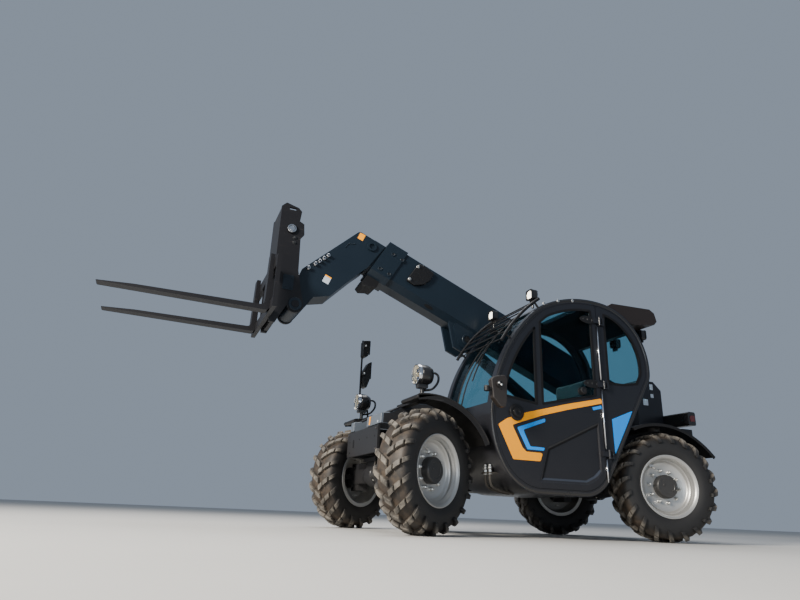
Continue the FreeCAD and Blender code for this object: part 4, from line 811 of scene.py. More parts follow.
def headlamp(y):
    """A deep round lamp facing ahead: body, chrome ring, dish, two bulbs and a domed lens."""
    body = turned([(AXIS_RADIUS, -0.125), (0.056, -0.125), (0.060, -0.121), (0.0765, -0.088), (0.078, -0.083),
                   (0.078, -0.032), (0.0755, -0.029), (0.0755, -0.024), (0.078, -0.021), (0.078, -0.001),
                   (0.076, 0.001), (0.0725, 0.001), (0.0720, -0.010), (AXIS_RADIUS, -0.052)], 56)
    ring = turned([(0.0782, -0.024), (0.0800, -0.022), (0.0800, -0.005), (0.0785, 0.0025), (0.0735, 0.0035),
                   (0.0725, 0.0015), (0.0780, -0.0015)], 56)
    dish = turned([(0.0715, -0.004), (0.062, -0.019), (0.045, -0.031), (0.020, -0.038), (AXIS_RADIUS, -0.039),
                   (AXIS_RADIUS, -0.041), (0.0716, -0.008)], 56)
    lens = turned([(0.0720, -0.001), (0.060, 0.006), (0.040, 0.011), (0.020, 0.0135), (AXIS_RADIUS, 0.014),
                   (AXIS_RADIUS, 0.0115), (0.040, 0.0085), (0.0715, -0.003)], 48)
    eye = turned([(AXIS_RADIUS, -0.008), (0.010, -0.010), (0.017, -0.016), (0.020, -0.026), (0.020, -0.036),
                  (AXIS_RADIUS, -0.036)], 28)
    eye_ring = turned([(0.0205, -0.040), (0.0290, -0.012), (0.0305, -0.012), (0.0220, -0.040)], 36)
    eyes, eye_rings = ([placed(shape, 0, 0, up) for up in (0.031, -0.031)] for shape in (eye, eye_ring))
    shapes = {"lamp_bodies": body, "lamp_rings": ring, "lamp_dishes": stacked(dish, *eye_rings),
              "lamp_eyes": stacked(*eyes), "lamp_lenses": lens}
    return {name: placed(shape, 0.346, y, 1.130, TO_X) for name, shape in shapes.items()}


def lamp_foot(y):
    """The headlamp's yoke on its post over the mudguard, with a bent guard tube behind it."""
    return [slab((0.235, 0.345), (y - 0.045, y + 0.045), (0.9585, 0.966), 0.012, plane="plan"),
            tube([(0.291, y, 0.964), (0.291, y, 1.045)], 0.016, 20),
            bent_tube([(0.226, y, 1.150), (0.190, y, 1.158), (0.160, y, 1.140), (0.158, y, 1.100),
                       (0.180, y, 1.060), (0.215, y, 1.030), (0.275, y, 1.015)], 0.009),
            plate(rounded([(0.255, 1.028), (0.330, 1.028), (0.335, 1.056), (0.250, 1.056)], 0.008),
                  y - 0.026, y + 0.026)]


def work_lamp(place):
    """A square lamp with a round light: body with cooling ribs, rim, light and bracket."""
    half = 0.043
    square = rounded([(-half, -half), (half, -half), (half, half), (-half, half)], 0.018, 6)
    ribs = [slab((-half * 0.8, half * 0.8), (s - 0.0025, s + 0.0025), (-0.064, -0.048), 0.001, 3)
            for s in np.linspace(-0.03, 0.03, 6)]
    arm = slab((-0.030, 0.030), (-0.075, -0.040), (-0.034, -0.022), 0.006, 4)
    body = stacked(plate(square, -0.050, -0.004), band(square, -0.010, 0.003, -0.006, 0.004), *ribs, arm)
    return moved(body, place), moved(drum(0.036, -0.004, 0.0005, 0.003, 36), place)


def lamps():
    piles = {name: [] for name in ("lamp_bodies", "lamp_rings", "lamp_dishes", "lamp_eyes", "lamp_lenses")}
    feet, screws, lights = [], [], []
    for y in (0.700, -0.700):
        for name, shape in headlamp(y).items():
            piles[name].append(shape)
        feet += lamp_foot(y)
        screws += [placed(bolt(0.006, 0.006), 0.291 + dx, y + dy, 0.966, TO_Z)
                   for dx in (-0.042, 0.040) for dy in (-0.032, 0.032)]
    for x, y, z, turn in ((-0.639, 0.780, 1.915, TO_X), (-0.639, 0.150, 1.915, TO_X),
                          (-1.975, 0.640, 1.790, TO_X @ ABOUT_Z), (-1.975, 0.300, 1.790, TO_X @ ABOUT_Z)):
        shell, light = work_lamp(Matrix.Translation((x, y, z)) @ turn)
        piles["lamp_bodies"].append(shell)
        lights.append(light)
    feet += [tube([(-0.669, y, 1.802), (-0.669, y, 1.850)], 0.010, 16) for y in (0.780, 0.150)]
    rear_foot = rounded([(-1.958, 1.800), (-1.930, 1.800), (-1.895, 1.842), (-1.925, 1.842)], 0.004, 3)
    feet += [plate(rear_foot, y - 0.020, y + 0.020) for y in (0.640, 0.300)]
    skin = piece("lamp_bodies", piles["lamp_bodies"] + feet, "lamp_plastic")
    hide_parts("lamps")
    piece("lamp_rings", piles["lamp_rings"], "rod_chrome")
    piece("lamp_dishes", piles["lamp_dishes"], "reflector")
    piece("lamp_eyes", piles["lamp_eyes"], "lamp_eye")
    piece("work_lights", lights, "bulb")
    piece("lamp_lenses", piles["lamp_lenses"], "lens")
    piece("lamp_screws", screws, "zinc")


def mirrors():
    """Rounded mirror shells on their stalks, with the glass facing back."""
    left = rounded([(-0.238, 0.935), (-0.224, 0.893), (-0.186, 0.893), (-0.126, 0.955), (-0.110, 1.085),
                    (-0.134, 1.110), (-0.222, 1.132), (-0.244, 1.105)], 0.016, 6)
    bevelled(piece("left_mirror_shell", [plate(left, 0.984, 1.038)], "mirror_shell", sharp=None), 0.006, 4, 60)
    arms = [
        tube([(-0.078, 1.020, 1.018), (-0.195, 1.030, 1.018)], 0.010, 14),
        placed(drum(0.022, -0.020, 0.020, 0.004, 24), -0.080, 1.020, 1.018, TO_Z),
        bent_tube([(-0.240, 0.868, 1.060), (-0.205, 0.930, 1.060), (-0.172, 1.000, 1.056)], 0.011, 14),
        placed(drum(0.026, -0.012, 0.012, 0.004, 28), -0.172, 1.044, 1.056),
        placed(drum(0.017, -0.030, 0.018, 0.003, 24), -0.232, 0.885, 1.060),
        slab((-0.262, -0.212), (1.020, 1.100), (0.8705, 0.880), 0.010),
        bent_tube([(0.200, -0.760, 0.956), (0.206, -0.790, 1.080), (0.232, -0.795, 1.130),
                   (0.280, -0.795, 1.210), (0.289, -0.795, 1.300), (0.289, -0.795, 1.770)], 0.009, 14)]
    right, screws = [], [placed(bolt(0.0065, 0.007), x, 1.056, z) for x, z in ((-0.182, 1.050), (-0.162, 1.062))]
    glasses = [plate(rounded([(0.990, 0.955), (1.032, 0.950), (1.032, 1.120), (0.990, 1.124)], 0.010),
                     -0.2345, -0.2325, "front")]
    upper = [(0.296, 1.758), (0.222, 1.768), (0.226, 1.700), (0.244, 1.606), (0.272, 1.592), (0.294, 1.604)]
    lower = [(0.232, 1.535), (0.198, 1.556), (0.202, 1.460), (0.216, 1.360), (0.242, 1.285), (0.268, 1.296),
             (0.284, 1.350), (0.278, 1.450)]
    for outline, level in ((upper, 1.700), (lower, 1.420)):
        right.append(plate(rounded(outline, 0.014), -0.838, -0.742))
        arms.append(placed(drum(0.018, -0.008, 0.020, 0.003, 24), 0.279, -0.742, level))
        screws.append(placed(bolt(0.007, 0.007), 0.279, -0.722, level))
    for heights, near in (((1.625, 1.745), 0.2215), ((1.380, 1.535), 0.1975)):
        glasses.append(slab((-0.830, -0.750), heights, (near, near + 0.0012), 0.012, plane="front"))
    bevelled(piece("right_mirror_shells", right, "black_plastic", sharp=60), 0.005, 3, 60)
    skin = piece("mirror_arms", arms, "black_plastic")
    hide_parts("mirrors")
    piece("mirror_glasses", glasses, "mirror")
    piece("mirror_screws", screws, "zinc")


lamps()
mirrors()


# Cab trim

def glass_corners(node):
    return np.array([tuple(v.co) for v in frame["nodes"][node].data.vertices])


def cab_trim():
    """The cab's round rim, the door's seal, rubber round the panes, and the roof's bolts."""
    rim = at_depth(cab_side(0.017), CAB_LEFT - 0.012)
    piece("cab_rim", [tube(np.concatenate([rim, rim[:1]]), 0.017, 14)], "lamp_plastic", slot="black_plastic", sharp=60)
    seal = cab_side(0.0425)
    seal = seal[seal[:, 0] > -1.243]
    cut_at = np.argmax(np.linalg.norm(np.diff(np.concatenate([seal, seal[:1]]), axis=0), axis=1)) + 1
    seal = at_depth(np.roll(seal, -cut_at, axis=0), CAB_LEFT - 0.004)
    piece("door_seal", [tube(seal, 0.0045, 8)], "seal", sharp=60)
    door = glass_corners("door_glass")
    for name, keep in (("front", door[:, 0] > -0.640), ("rear", door[:, 0] < -0.640)):
        rubber = band(spread(hull(door[keep][:, (0, 2)])), -0.012, 0.007, CAB_LEFT - 0.013, CAB_LEFT + 0.0025)
        piece(f"door_rubber_{name}", [rubber], "seal", "door")
    cab = glass_corners("cab_glass")
    quarter = cab[(cab[:, 1] > 0.846) & (cab[:, 0] < -1.28)]
    rubber = band(spread(hull(quarter[:, (0, 2)])), -0.012, 0.007, CAB_LEFT - 0.015, CAB_LEFT - 0.001)
    piece("quarter_rubber", [rubber], "seal")
    heads = [placed(drum(0.014, 0, 0.006, 0.003, 24), x, CAB_LEFT + 0.0002, z)
             for x, z in ((-0.718, 1.826), (-0.861, 1.872), (-1.009, 1.899))]
    piece("roof_bolts", heads, "zinc")


def on_screen(angle, y, lift):
    """A point on the front screen's arc, at an angle over level and lifted off it."""
    turn = math.radians(angle)
    radius = SCREEN_RADIUS + lift
    return SCREEN_CENTRE[0] + radius * math.cos(turn), y, SCREEN_CENTRE[1] + radius * math.sin(turn)


def wipers():
    """Two arms that bow off the screen from their spindles, and one blade."""
    shapes = []
    for low in (0.330, 0.410):
        shapes.append(tube([on_screen(5 + 31 * t, low + 0.140 * t, 0.016 + 0.016 * math.sin(math.pi * t))
                            for t in np.linspace(0, 1, 9)], 0.0055, 10))
        shapes.append(placed(drum(0.016, -0.012, 0.014, 0.003, 20), *on_screen(5, low, 0.014), TO_X))
    blade = [on_screen(t, 0.510 + 0.0012 * (t - 26), 0.009) for t in np.linspace(18, 50, 12)]
    piece("wiper_arms", [*shapes, tube(blade, 0.006, 8)], "black_plastic")


def roof_guard():
    """Thin bars across two tubes that follow the front screen's curve, on short feet."""
    shapes = []
    for y in (CAB_LEFT - 0.026, CAB_RIGHT + 0.026):
        shapes.append(tube([on_screen(t, y, 0.056) for t in np.linspace(53.5, 30, 24)], 0.013, 14))
        shapes += [tube([on_screen(t, y, -0.004), on_screen(t, y, 0.050)], 0.009) for t in (51, 33)]
    shapes += [tube([on_screen(t, y, 0.056) for y in (CAB_RIGHT + 0.030, CAB_LEFT - 0.030)], 0.0055, 10)
               for t in np.linspace(52, 31, 7)]
    guard = piece("roof_guard_bars", shapes, "black_plastic", sharp=60)
    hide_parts("roof_guard")


cab_trim()
wipers()
roof_guard()


# Boom, cylinder and carriage fittings

def round_outline(x, z, radius):
    turn = np.linspace(0, 2 * np.pi, 48, endpoint=False)
    return np.stack([x + radius * np.cos(turn), z + radius * np.sin(turn)], axis=-1)


def lift_lug():
    """The lift cylinder's eye plates on the boom's underside, with pin rings and black bolts; black discs in the rings
    are painted shade of the recessed pin ends.
    """
    eye = hull(np.concatenate([round_outline(1.819, -0.248, 0.098), round_outline(1.935, -0.190, 0.055)]))
    plates, dark = [], []
    for side in (1, -1):
        way = FACING[side]
        plates.append(plate(eye, *sorted((BOOM_Y + side * 0.0892, BOOM_Y + side * 0.1010))))
        plates.append(placed(drum(0.052, 0, 0.010, 0.003, 40, 0.034), 1.819, BOOM_Y + side * 0.100, -0.248, way))
        # A black disc in the ring: painted shade of the recessed pin end
        dark.append(placed(drum(0.0335, 0, 0.004, 0.001), 1.819, BOOM_Y + side * 0.1008, -0.248, way))
        dark += [placed(bolt(0.008, 0.008), along, BOOM_Y + side * 0.0895, up, way)
                 for along, up in ((1.905, -0.150), (1.740, -0.160))]
    piece("lift_lug_plates", plates, "boom_paint", "boom_base", place=BOOM)
    piece("lift_lug_pin_shade_and_bolts", dark, "seal", "boom_base", "cylinder_paint", place=BOOM)


def neck_fittings():
    """Couplings, bare labels and a weld on the neck, and on the outer boom the tray, which is partly painted shade
    under the collar, and the oval recess, whose dark middle is painted shade.
    """
    left = BOOM_Y + NECK_FACE
    on_neck = {"body": "boom_stage", "place": BOOM}
    couplers, caps, seats = [], [], []
    for k in range(5):
        at = (3.329 + 0.0215 * k + (0.012 if k == 4 else 0), left, -0.252 - 0.0452 * k - (0.020 if k == 4 else 0))
        seats.append(placed(drum(0.019, 0, 0.008, 0.0015, 6), *at))
        couplers.append(placed(drum(0.0145, 0.006, 0.030, 0.002, 28, 0.007), *at))
        couplers.append(placed(drum(0.0165, 0.012, 0.018, 0.001, 28, 0.007), *at))
        caps.append(placed(drum(0.0068, 0.004, 0.024, 0.002, 16), *at))
    piece("coupler_bodies", couplers, "rod_chrome", **on_neck)
    piece("coupler_seats", seats, "cylinder_paint", **on_neck)
    piece("coupler_cores", caps, "black_plastic", **on_neck)
    marker = rounded([(-0.027, -0.034), (0.027, -0.034), (0.027, 0.030), (-0.027, 0.034)], 0.004)
    piece("neck_marker", [placed(plate(marker, 0.0002, 0.0010), 3.149, left, 0.096)], "orange", **on_neck)
    for name, heights, thick, radius, finish in (
            ("neck_blank_label", (-0.036, 0.024), 0.0010, 0.003, "label"),
            ("neck_label_strip", (0.0245, 0.037), 0.0011, 0.002, "orange")):
        shape = slab((-0.030, 0.030), heights, (0.0002, thick), radius)
        piece(name, [placed(shape, 3.240, left, -0.456)], finish, **on_neck)
    weld = [(3.170, -0.005), (3.192, -0.022), (3.216, -0.030), (3.228, -0.060), (3.232, -0.085)]
    piece("neck_weld", [bent_tube([(x, left + 0.002, z) for x, z in weld], 0.004, 10)], "boom_paint", **on_neck)
    # A black tray under the collar: partly hoses, partly painted shade of the collar's underside
    tray = [(2.812, -0.205), (2.812, -0.272), (2.850, -0.276), (2.912, -0.312), (2.952, -0.292), (2.940, -0.205)]
    piece("painted_shade_and_hose_tray", [plate(rounded(tray, 0.010, 4), BOOM_Y - 0.110, BOOM_Y + 0.110)], "seal", "boom_base",
          place=BOOM)
    # The oval recess on the lower bent face is drawn as a raised rim round a black oval, which is painted shade for
    # the recess's depth
    slope = Matrix.Rotation(math.radians(-45), 4, "X")
    for name, grow, lift, finish in (("oval_rim", 1.0, 0.003, "boom_paint"), ("oval_painted_shade", 0.78, 0.0042, "seal")):
        oval = round_outline(0, 0, 1) * (0.060 * grow, 0.021 * grow)
        piece(name, [placed(plate(oval, 0.0, lift), 2.289, BOOM_Y + 0.0975, -0.1575, slope)], finish, "boom_base",
              "boom_paint", place=BOOM)


def lift_cylinder_fittings():
    """The lift barrel's gland, pipe and clamps, in a frame with X along the barrel from its eye."""
    (x0, z0), (x1, z1) = LIFT_EYES
    angle = math.atan2(z1 - z0, x1 - x0)
    place = Matrix.Translation((x0, BOOM_Y, z0)) @ Matrix.Rotation(-angle, 4, "Y")
    rings = [(0.066, 0.050, 0.004, 48, 0.0355, 1.365), (0.061, 0.016, 0.002, 48, 0.0355, 1.412),
             (0.0605, 0.022, 0.002, 40, 0.0584, 0.420), (0.0605, 0.022, 0.002, 40, 0.0584, 0.980)]
    rings = [placed(drum(radius, 0, wide, bevel, steps, hole), at, 0, 0, TO_X)
             for radius, wide, bevel, steps, hole, at in rings]
    pipe = bent_tube([(0.160, 0.050, 0.030), (0.175, 0.072, 0.034), (0.230, 0.076, 0.034), (1.260, 0.076, 0.034),
                      (1.315, 0.070, 0.034), (1.330, 0.050, 0.030)], 0.008)
    for name, shapes in (("lift_gland", rings[:2]), ("lift_pipe", [pipe]), ("lift_clamps", rings[2:])):
        piece(name, shapes, "cylinder_paint", "lift_barrel", place=place)


def carriage_fittings():
    """Pin caps, patches with their bosses, and bolts on both sides of the carriage."""
    place = Matrix.Translation((JOINTS["carriage_tilt"]["pos_m"][0], BOOM_Y, JOINTS["carriage_tilt"]["pos_m"][2]))
    shine, dark, screws = [], [], []
    for side in (1, -1):
        turn = FACING[side]
        shine.append(placed(drum(0.038, 0, 0.006, 0.002, 40, 0.029), 0.095, side * 0.2042, 0.672, turn))
        shine.append(placed(drum(0.026, 0, 0.005, 0.003, 36), 0.095, side * 0.2042, 0.672, turn))
        face = side * 0.1902
        dark.append(slab((0.032, 0.122), (0.115, 0.245), (face, face + side * 0.008), 0.010))
        dark.append(placed(drum(0.058, 0, 0.010, 0.003, 40, 0.032), 0, face, 0, turn))
        dark += [placed(bolt(0.006, 0.006), x, side * 0.1984, z, turn) for x in (0.048, 0.106) for z in (0.135, 0.225)]
        screws += [placed(bolt(0.012, 0.012), 0.060, face, z, turn) for z in (0.595, 0.550)]
    piece("carriage_caps", shine, "rod_chrome", "carriage", place=place)
    piece("carriage_patches", dark, "boom_paint", "carriage", place=place)
    piece("carriage_bolts", screws, "cylinder_paint", "carriage", place=place)


lift_lug()
neck_fittings()
lift_cylinder_fittings()
carriage_fittings()


# Nose, axles and rear

def cut_mudguards():
    """The mudguards as built, but with the front pair ended where the photograph ends them."""
    mesh = frame["nodes"]["fenders"].data.copy()
    guards = new_object("mudguards", mesh, "black_plastic")
    work = bmesh.new()
    work.from_mesh(mesh)
    bmesh.ops.remove_doubles(work, verts=work.verts, dist=1e-5)
    cut = bmesh.ops.bisect_plane(work, geom=work.verts[:] + work.edges[:] + work.faces[:], dist=1e-6,
                                 plane_co=(0.392, 0, 0), plane_no=(1, 0, 0), clear_outer=True)
    edges = [e for e in cut["geom_cut"] if isinstance(e, bmesh.types.BMEdge)]
    bmesh.ops.holes_fill(work, edges=edges, sides=0)
    work.to_mesh(mesh)
    work.free()
    mesh.set_sharp_from_angle(angle=math.radians(30))
    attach(guards, "chassis")
    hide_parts("fenders")


def nose_cover():
    """The two halves of the nose cover, a steep face and a lid that rises to the rear, and its black sides; the
    cover's blue tint is a painted sky reflection.
    """
    side = [(-0.030, 0.705), (0.060, 0.705), (0.190, 0.795), (0.490, 0.795), (0.487, 0.872), (0.478, 0.880),
            (0.413, 0.884), (0.309, 0.938), (0.200, 0.975), (-0.030, 0.985)]
    cover = piece("nose_cover", [plate(side, 0.045, 0.3745), plate(side, -0.3745, -0.295)], "cover_grey", sharp=None)
    bevelled(cover, 0.005, 3, 25)
    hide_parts("front_cover")
    lid = [(0.421, 0.882), (0.418, 0.893), (0.312, 0.949), (0.202, 0.986), (-0.035, 0.996), (-0.035, 0.984),
           (0.200, 0.974), (0.309, 0.937), (0.411, 0.882)]
    lids = [plate(lid, 0.042, 0.382), plate(lid, -0.382, -0.292)]
    bevelled(piece("nose_lids", lids, "frame_paint", sharp=None), 0.003)
    face = [(-0.025, 0.712), (0.057, 0.712), (0.186, 0.802), (0.470, 0.802), (0.466, 0.872), (0.406, 0.878),
            (0.304, 0.931), (0.198, 0.968), (-0.025, 0.978)]
    piece("nose_cover_sides", [plate(face, 0.3738, 0.3768), plate(face, -0.3768, -0.3738)], "frame_paint")


def cab_front_fittings():
    """A bracket of hydraulic couplings under the cab's front corner, with their hoses."""
    shines, blacks = [], []
    for y in (0.640, 0.705):
        for radius, start, end, bevel, steps in ((0.017, -0.030, 0.010, 0.003, 6), (0.021, 0.010, 0.030, 0.005, 28),
                                                 (0.014, 0.030, 0.048, 0.004, 24)):
            shines.append(placed(drum(radius, start, end, bevel, steps), -0.284, y, 0.470, TO_Z))
        blacks.append(bent_tube([(-0.284, y, 0.440), (-0.286, y - 0.004, 0.400), (-0.320, y - 0.020, 0.352),
                                 (-0.420, y - 0.060, 0.330), (-0.560, y - 0.120, 0.318)], 0.010, 14))
    blacks.append(slab((-0.345, -0.258), (0.610, 0.735), (0.4480, 0.4580), 0.012, plane="plan"))
    piece("cab_couplings", shines, "zinc")
    piece("cab_coupling_hoses", blacks, "hose")


def nose_fittings():
    """A slot and holes in the nose plate, drawn as black films of painted shade, bolts, the marker, a round dot and
    the side lamps.
    """
    # The slot and holes: thin black films on the nose face, as painted shade
    slot = slab((-0.225, -0.195), (0.645, 0.715), (NOSE_FACE, NOSE_FACE + 0.0012), 0.013, 6, "front")
    holes = [placed(drum(0.0075, 0, 0.0012, 0.0004, 20), NOSE_FACE, y, z, TO_X)
             for y, z in ((-0.058, 0.705), (0.133, 0.702), (0.312, 0.700), (-0.310, 0.700), (-0.300, 0.610),
                          (0.330, 0.610))]
    piece("nose_slot_and_hole_shade", [slot, *holes], "seal")
    bolts = [placed(bolt(0.009, 0.008), NOSE_FACE, y, z, TO_X) for y in (-0.345, 0.345) for z in (0.755, 0.600)]
    piece("nose_bolts", bolts, "cylinder_paint")
    marker = plate([(0.104, 0.806), (0.126, 0.806), (0.140, 0.870), (0.118, 0.870)], 0.4892, 0.4912, "front")
    piece("nose_marker", [marker], "orange")
    dot = placed(drum(0.009, 0, 0.003, 0.001, 20), 0.4902, 0.314, 0.812, TO_X)
    piece("nose_dot", [dot], "label", slot="lamp_plastic")
    side_lamps = [placed(drum(0.018, 0, 0.014, 0.004, 28), 0.424, side * 0.376, 0.691, FACING[side])
                  for side in (1, -1)]
    piece("side_markers", side_lamps, "amber_lens")


def axle_fittings():
    """Steering cylinder on each axle, cover bolts round its drum, and hoses up to the frame."""
    blacks, shines, hoses, bolts = [], [], [], []
    for axle_x, ahead in AXLES:
        x = axle_x + 0.118 * ahead
        blacks += [placed(drum(0.030, 0, 0.300, 0.005), x, 0.060, AXLE_Z),
                   placed(drum(0.034, 0, 0.030, 0.004), x, 0.335, AXLE_Z),
                   placed(drum(0.034, 0, 0.030, 0.004), x, 0.055, AXLE_Z)]
        shines += [placed(drum(0.014, 0, end - start, 0.002, 24), x, start, AXLE_Z)
                   for start, end in ((0.360, 0.535), (-0.010, 0.056))]
        blacks += [slab((axle_x + 0.050 * ahead, x + 0.012 * ahead), (0.400, 0.468), (y - 0.008, y + 0.008), 0.006, 3)
                   for y in (0.120, 0.300)]
        for turn in np.linspace(0, 2 * math.pi, 12, endpoint=False):
            for y, side in ((-0.0348, 1), (-0.2152, -1)):
                bolts.append(placed(bolt(0.006, 0.008), axle_x + 0.088 * math.sin(turn), y,
                                    AXLE_Z + 0.088 * math.cos(turn), FACING[side]))
        for start, end in ((0.090, 0.020), (0.340, 0.060)):
            hoses.append(bent_tube([(x, start, AXLE_Z + 0.028), (x - 0.004 * ahead, start, AXLE_Z + 0.070),
                                    (x - 0.030 * ahead, (start + end) / 2, AXLE_Z + 0.118),
                                    (x - 0.060 * ahead, end, AXLE_Z + 0.150)], 0.008))
        bolts += [placed(drum(0.030, 0, 0.010, 0.003), axle_x, y, AXLE_Z + up, way)
                  for y in (0.7, -0.7) for up, way in ((0.148, TO_Z), (-0.148, DOWN))]
    piece("steer_cylinders", blacks, "cylinder_paint")
    piece("steer_rods", shines, "rod_chrome")
    piece("axle_bolts", bolts, "zinc")
    piece("axle_hoses", hoses, "hose")


def rear_fittings():
    """Lenses and their frames in the rear bar, bare labels, louvre lips and the battery hood's latches."""
    reds, ambers, frames = [], [], []
    for side in (1, -1):
        for low, high, pile in ((0.350, 0.450, ambers), (0.462, 0.562, reds)):
            pile.append(slab(sorted((low * side, high * side)), (1.040, 1.115), (-2.5745, -2.5682), 0.010,
                             plane="front"))
        first, last = sorted((0.338 * side, 0.574 * side))
        frames.append(band(spread(np.array([(first, 1.030), (last, 1.030), (last, 1.125), (first, 1.125)]), 80),
                           -0.006, 0.002, -0.002, 0.003))
        reds.append(slab((-2.555, -2.500), (1.050, 1.105), sorted((0.5902 * side, 0.5945 * side)), 0.010))
    piece("rear_red_lenses", reds, "red_lens")
    piece("rear_amber_lenses", ambers, "amber_lens")
    piece("rear_lens_frames", frames, "black_plastic",
          place=Matrix.Translation((-2.5695, 0, 0)) @ Matrix.Rotation(math.radians(90), 4, "Z"))
    labels = [slab((x - wide, x + wide), (z - high, z + high), (0.3052, 0.3060), 0.004)
              for x, z, wide, high in ((-2.349, 1.405, 0.020, 0.028), (-2.350, 1.318, 0.018, 0.018),
                                       (-2.262, 1.248, 0.030, 0.030))]
    piece("blank_labels", labels, "label")
    lips = [plate([(-2.4682, z), (-2.4682, z + 0.022), (-2.4800, z + 0.004), (-2.4800, z)], 0.120, 0.270)
            for z in 1.075 + 0.042 * np.arange(7)]
    box_lip = plate([(0, 0), (0.016, 0), (0.016, 0.004), (0, 0.020)], -0.270, 0.270)
    lips += [placed(box_lip, -0.620, BOX_FACE, z, TO_X) for z in 0.470 + 0.032 * np.arange(9)]
    piece("louvre_lips", lips, "body_paint")
    latches = []
    for x in (-1.150, -0.480):
        latches += [slab((x - 0.045, x + 0.045), (0.850, 0.905), (-0.8690, BOX_FACE), 0.012),
                    slab((x - 0.030, x + 0.030), (0.862, 0.882), (-0.8760, -0.8688), 0.008)]
    piece("hood_latches", latches, "black_plastic", "hood")


def over_wheel(radius, degrees):
    """A point (x, z) round the front axle, at an angle ahead of the top."""
    turn = np.radians(degrees)
    return AXLES[0][0] + radius * np.sin(turn), AXLE_Z + radius * np.cos(turn)


def fender_fittings():
    """The mudguards' rolled front ends and the screws that hold them to their arms."""
    nose = [(0.5262, t) for t in np.linspace(-12, 10.5, 12)] + [
        (0.521, 11.5), (0.512, 12.0), (0.502, 11.8), (0.495, 11.0), (0.493, 9.5), (0.495, 7.0), (0.501, 3.0),
        (0.508, -2.0), (0.514, -7.0), (0.518, -12.0)]
    nose = [over_wheel(radius, degrees) for radius, degrees in nose]
    edge = np.stack(over_wheel(0.523, np.linspace(10.5, -66, 40)), axis=-1)
    rolls, screws = [], []
    for side in (1, -1):
        rolls.append(plate(nose, *sorted((0.570 * side, 0.880 * side))))
        rolls.append(tube(at_depth(edge, 0.8765 * side), 0.0075, 10))
        screws += [placed(bolt(0.007, 0.006), x, y * side, 0.9582, TO_Z) for x in (0.282, 0.318) for y in (0.600, 0.740)]
    bevelled(piece("fender_rolls", rolls, "black_plastic", sharp=50), 0.004, 3, 50)
    piece("fender_screws", screws, "cylinder_paint")


cut_mudguards()
nose_cover()
cab_front_fittings()
nose_fittings()
axle_fittings()
rear_fittings()
fender_fittings()


# Seat and steering wheel

def settled(thing):
    """The piece with its modifiers worked into its mesh."""
    mesh = bpy.data.meshes.new_from_object(thing.evaluated_get(bpy.context.evaluated_depsgraph_get()))
    thing.modifiers.clear()
    thing.data = mesh
    return thing


def corners_of(thing):
    flat = np.empty(len(thing.data.vertices) * 3)
    thing.data.vertices.foreach_get("co", flat)
    return flat.reshape(-1, 3)


def seam(pad, points, radius):
    """A bead along the points on the pad's skin that lie nearest to a path, evened out along it."""
    skin = corners_of(pad)
    found = np.array([skin[np.argmin(np.linalg.norm(skin - p, axis=1))] for p in np.asarray(points)])
    for _ in range(2):
        found[1:-1] = (found[:-2] + found[1:-1] * 2 + found[2:]) / 4
    return tube(found, radius, 8)


def swollen(pads, cap=0.016):
    """Pads blown up by Cloth pressure without gravity, no point moved further than the cap."""
    before = [corners_of(pad) for pad in pads]
    for pad in pads:
        cloth = pad.modifiers.new("cloth", "CLOTH")
        cloth.settings.use_pressure = True
        cloth.settings.uniform_pressure_force = 4
        cloth.settings.effector_weights.gravity = 0
    for step in range(1, 21):
        bpy.context.scene.frame_set(step)
    for pad, start in zip(pads, before):
        settled(pad)
        move = corners_of(pad) - start
        far = np.linalg.norm(move, axis=1)[:, None]
        move *= np.minimum(1, cap / np.maximum(far, 1e-9))
        pad.data.vertices.foreach_set("co", (start + move).ravel())
        pad.data.update()
    bpy.context.scene.frame_set(1)


def seat():
    """Seat and back cushions with piping and sewn channels, and a soft head end."""
    flat = rounded([(-1.240, 0.242), (-0.812, 0.242), (-0.812, 0.698), (-1.240, 0.698)], 0.060, 8)
    side = rounded([(-1.268, 0.732), (-1.172, 0.732), (-1.254, 1.292), (-1.336, 1.308)], 0.026, 6)
    bottom = piece("seat_pad", [plate(flat, 0.614, 0.708, "plan")], "seat_cloth", sharp=180)
    back = piece("seat_back_pad", [plate(side, 0.252, 0.688)], "seat_cloth", sharp=180)
    pads = (bottom, back)
    for pad in pads:
        bevelled(pad, 0.022, 4)
        remesh = pad.modifiers.new("remesh", "REMESH")
        remesh.mode = "VOXEL"
        remesh.voxel_size = 0.007
        remesh.use_smooth_shade = True
        settled(pad)
    swollen(pads)
    for pad in pads:
        pad.data.materials.clear()
        pad.data.materials.append(M["seat_cloth"])
        pad.data.polygons.foreach_set("use_smooth", np.full(len(pad.data.polygons), True))
        smooth = pad.modifiers.new("smooth", "SUBSURF")
        smooth.levels = 1
        smooth.render_levels = 1
        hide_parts("seat_cushions")
    around = [(x, y, 0.700) for x, y in flat[::2]]
    seams = [seam(bottom, around + around[:1], 0.0035)]
    seams += [seam(bottom, [(x, y, 0.725) for y in np.linspace(0.275, 0.665, 24)], 0.0028) for x in (-1.110, -0.950)]
    for z in (0.850, 1.000, 1.150):
        x = -1.172 - 0.082 * (z - 0.732) / 0.56 + 0.020
        seams.append(seam(back, [(x, y, z) for y in np.linspace(0.285, 0.655, 24)], 0.0028))
    piece("seat_seams", seams, "seal", slot="seat_cloth", sharp=60)


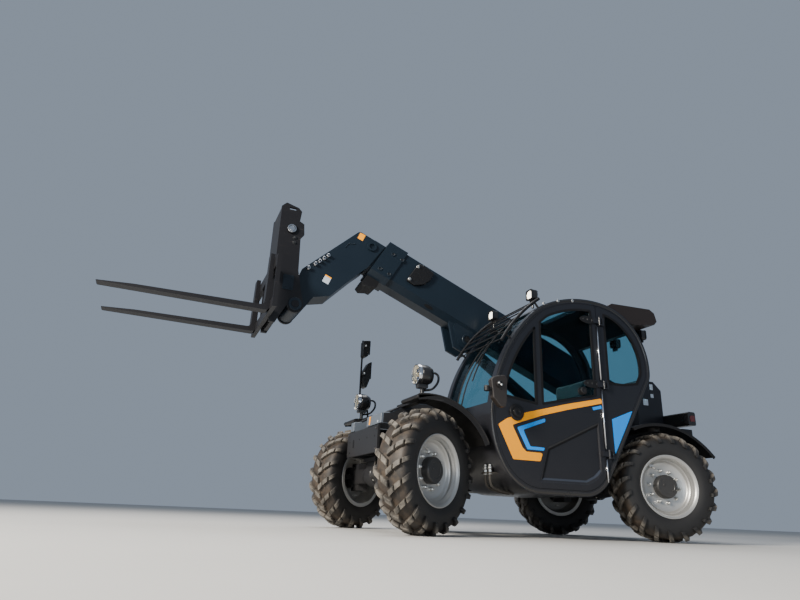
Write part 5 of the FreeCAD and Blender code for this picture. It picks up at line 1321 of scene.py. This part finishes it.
def steering_wheel():
    """A round-section rim on three spokes, its hub and column."""
    t = np.linspace(0, 2 * np.pi, 14, endpoint=False)
    rim = turned(np.stack([0.162 + 0.013 * np.cos(t), 0.013 * np.sin(t)], axis=-1))
    spokes = [tube([(0, -0.018, 0), (0.080 * math.sin(a), -0.010, 0.080 * math.cos(a)),
                    (0.158 * math.sin(a), 0.0, 0.158 * math.cos(a))], 0.009, 10) for a in np.radians((90, 210, 330))]
    hub = drum(0.042, -0.034, 0.004, 0.006, 36)
    column = drum(0.024, -0.240, -0.030, 0.003, 28)
    turn = Matrix.Rotation(math.radians(-32), 4, "Y") @ TO_Z
    wheel = piece("steering_wheel_skin", [rim, *spokes, hub, column], "trim_plastic", sharp=50,
                  place=Matrix.Translation((-0.590, 0.470, 0.992)) @ turn)
    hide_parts("steering_wheel")


seat()
steering_wheel()


# Camera, lights and floor

def set_camera():
    """The photograph's view: low, ahead of the machine on its left, looking up and back."""
    yaw, pitch, roll = math.radians(248.36), math.radians(19.70), math.radians(2.37)
    ahead = Vector((math.cos(yaw) * math.cos(pitch), math.sin(yaw) * math.cos(pitch), math.sin(pitch)))
    level = Vector((math.sin(yaw), -math.cos(yaw), 0))
    above = level.cross(ahead)
    right = level * math.cos(roll) + above * math.sin(roll)
    up = above * math.cos(roll) - level * math.sin(roll)
    data = bpy.data.cameras.new("camera")
    data.sensor_width = 36
    data.lens = 597.6 / 800 * 36
    camera = bpy.data.objects.new("camera", data)
    camera.matrix_world = Matrix((right, up, -ahead)).transposed().to_4x4()
    camera.location = (2.111, 4.763, 0.134)
    bpy.context.scene.collection.objects.link(camera)
    bpy.context.scene.camera = camera


def area_light(name, place, target, size, power, colour=(1, 1, 1)):
    data = bpy.data.lights.new(name, "AREA")
    data.shape = "RECTANGLE"
    data.size, data.size_y = size
    data.energy = power
    data.color = colour
    light = bpy.data.objects.new(name, data)
    light.location = place
    light.rotation_euler = (Vector(target) - Vector(place)).to_track_quat("-Z", "Y").to_euler()
    bpy.context.scene.collection.objects.link(light)


def studio():
    """A soft blue sky, a warm sun-like key from the front left, and a wide pale floor."""
    world = bpy.data.worlds.new("studio")
    world.use_nodes = True
    back = world.node_tree.nodes["Background"]
    back.inputs["Color"].default_value = (0.62, 0.74, 0.92, 1)
    back.inputs["Strength"].default_value = 0.40
    bpy.context.scene.world = world
    area_light("key", (9.0, 4.5, 5.0), (0.0, 0.3, 1.0), (2.2, 2.2), 2600, (1.0, 0.94, 0.84))
    area_light("fill", (1.0, 10.0, 1.2), (-0.5, 0.0, 1.0), (6, 2), 150, (0.80, 0.90, 1.0))
    area_light("top", (0.0, -2.0, 8.5), (0, 0, 1), (7, 6), 600)
    finish_with("pale_floor", (0.50, 0.49, 0.47), 0.8, dust=0.0, scuff=0.0, tint=0.03, grain=60.0, strength=0.2)
    mesh = bpy.data.meshes.new("floor")
    mesh.from_pydata([(-60, -60, 0), (60, -60, 0), (60, 60, 0), (-60, 60, 0)], [], [(0, 1, 2, 3)])
    new_object("floor", mesh, "pale_floor")


set_camera()
studio()
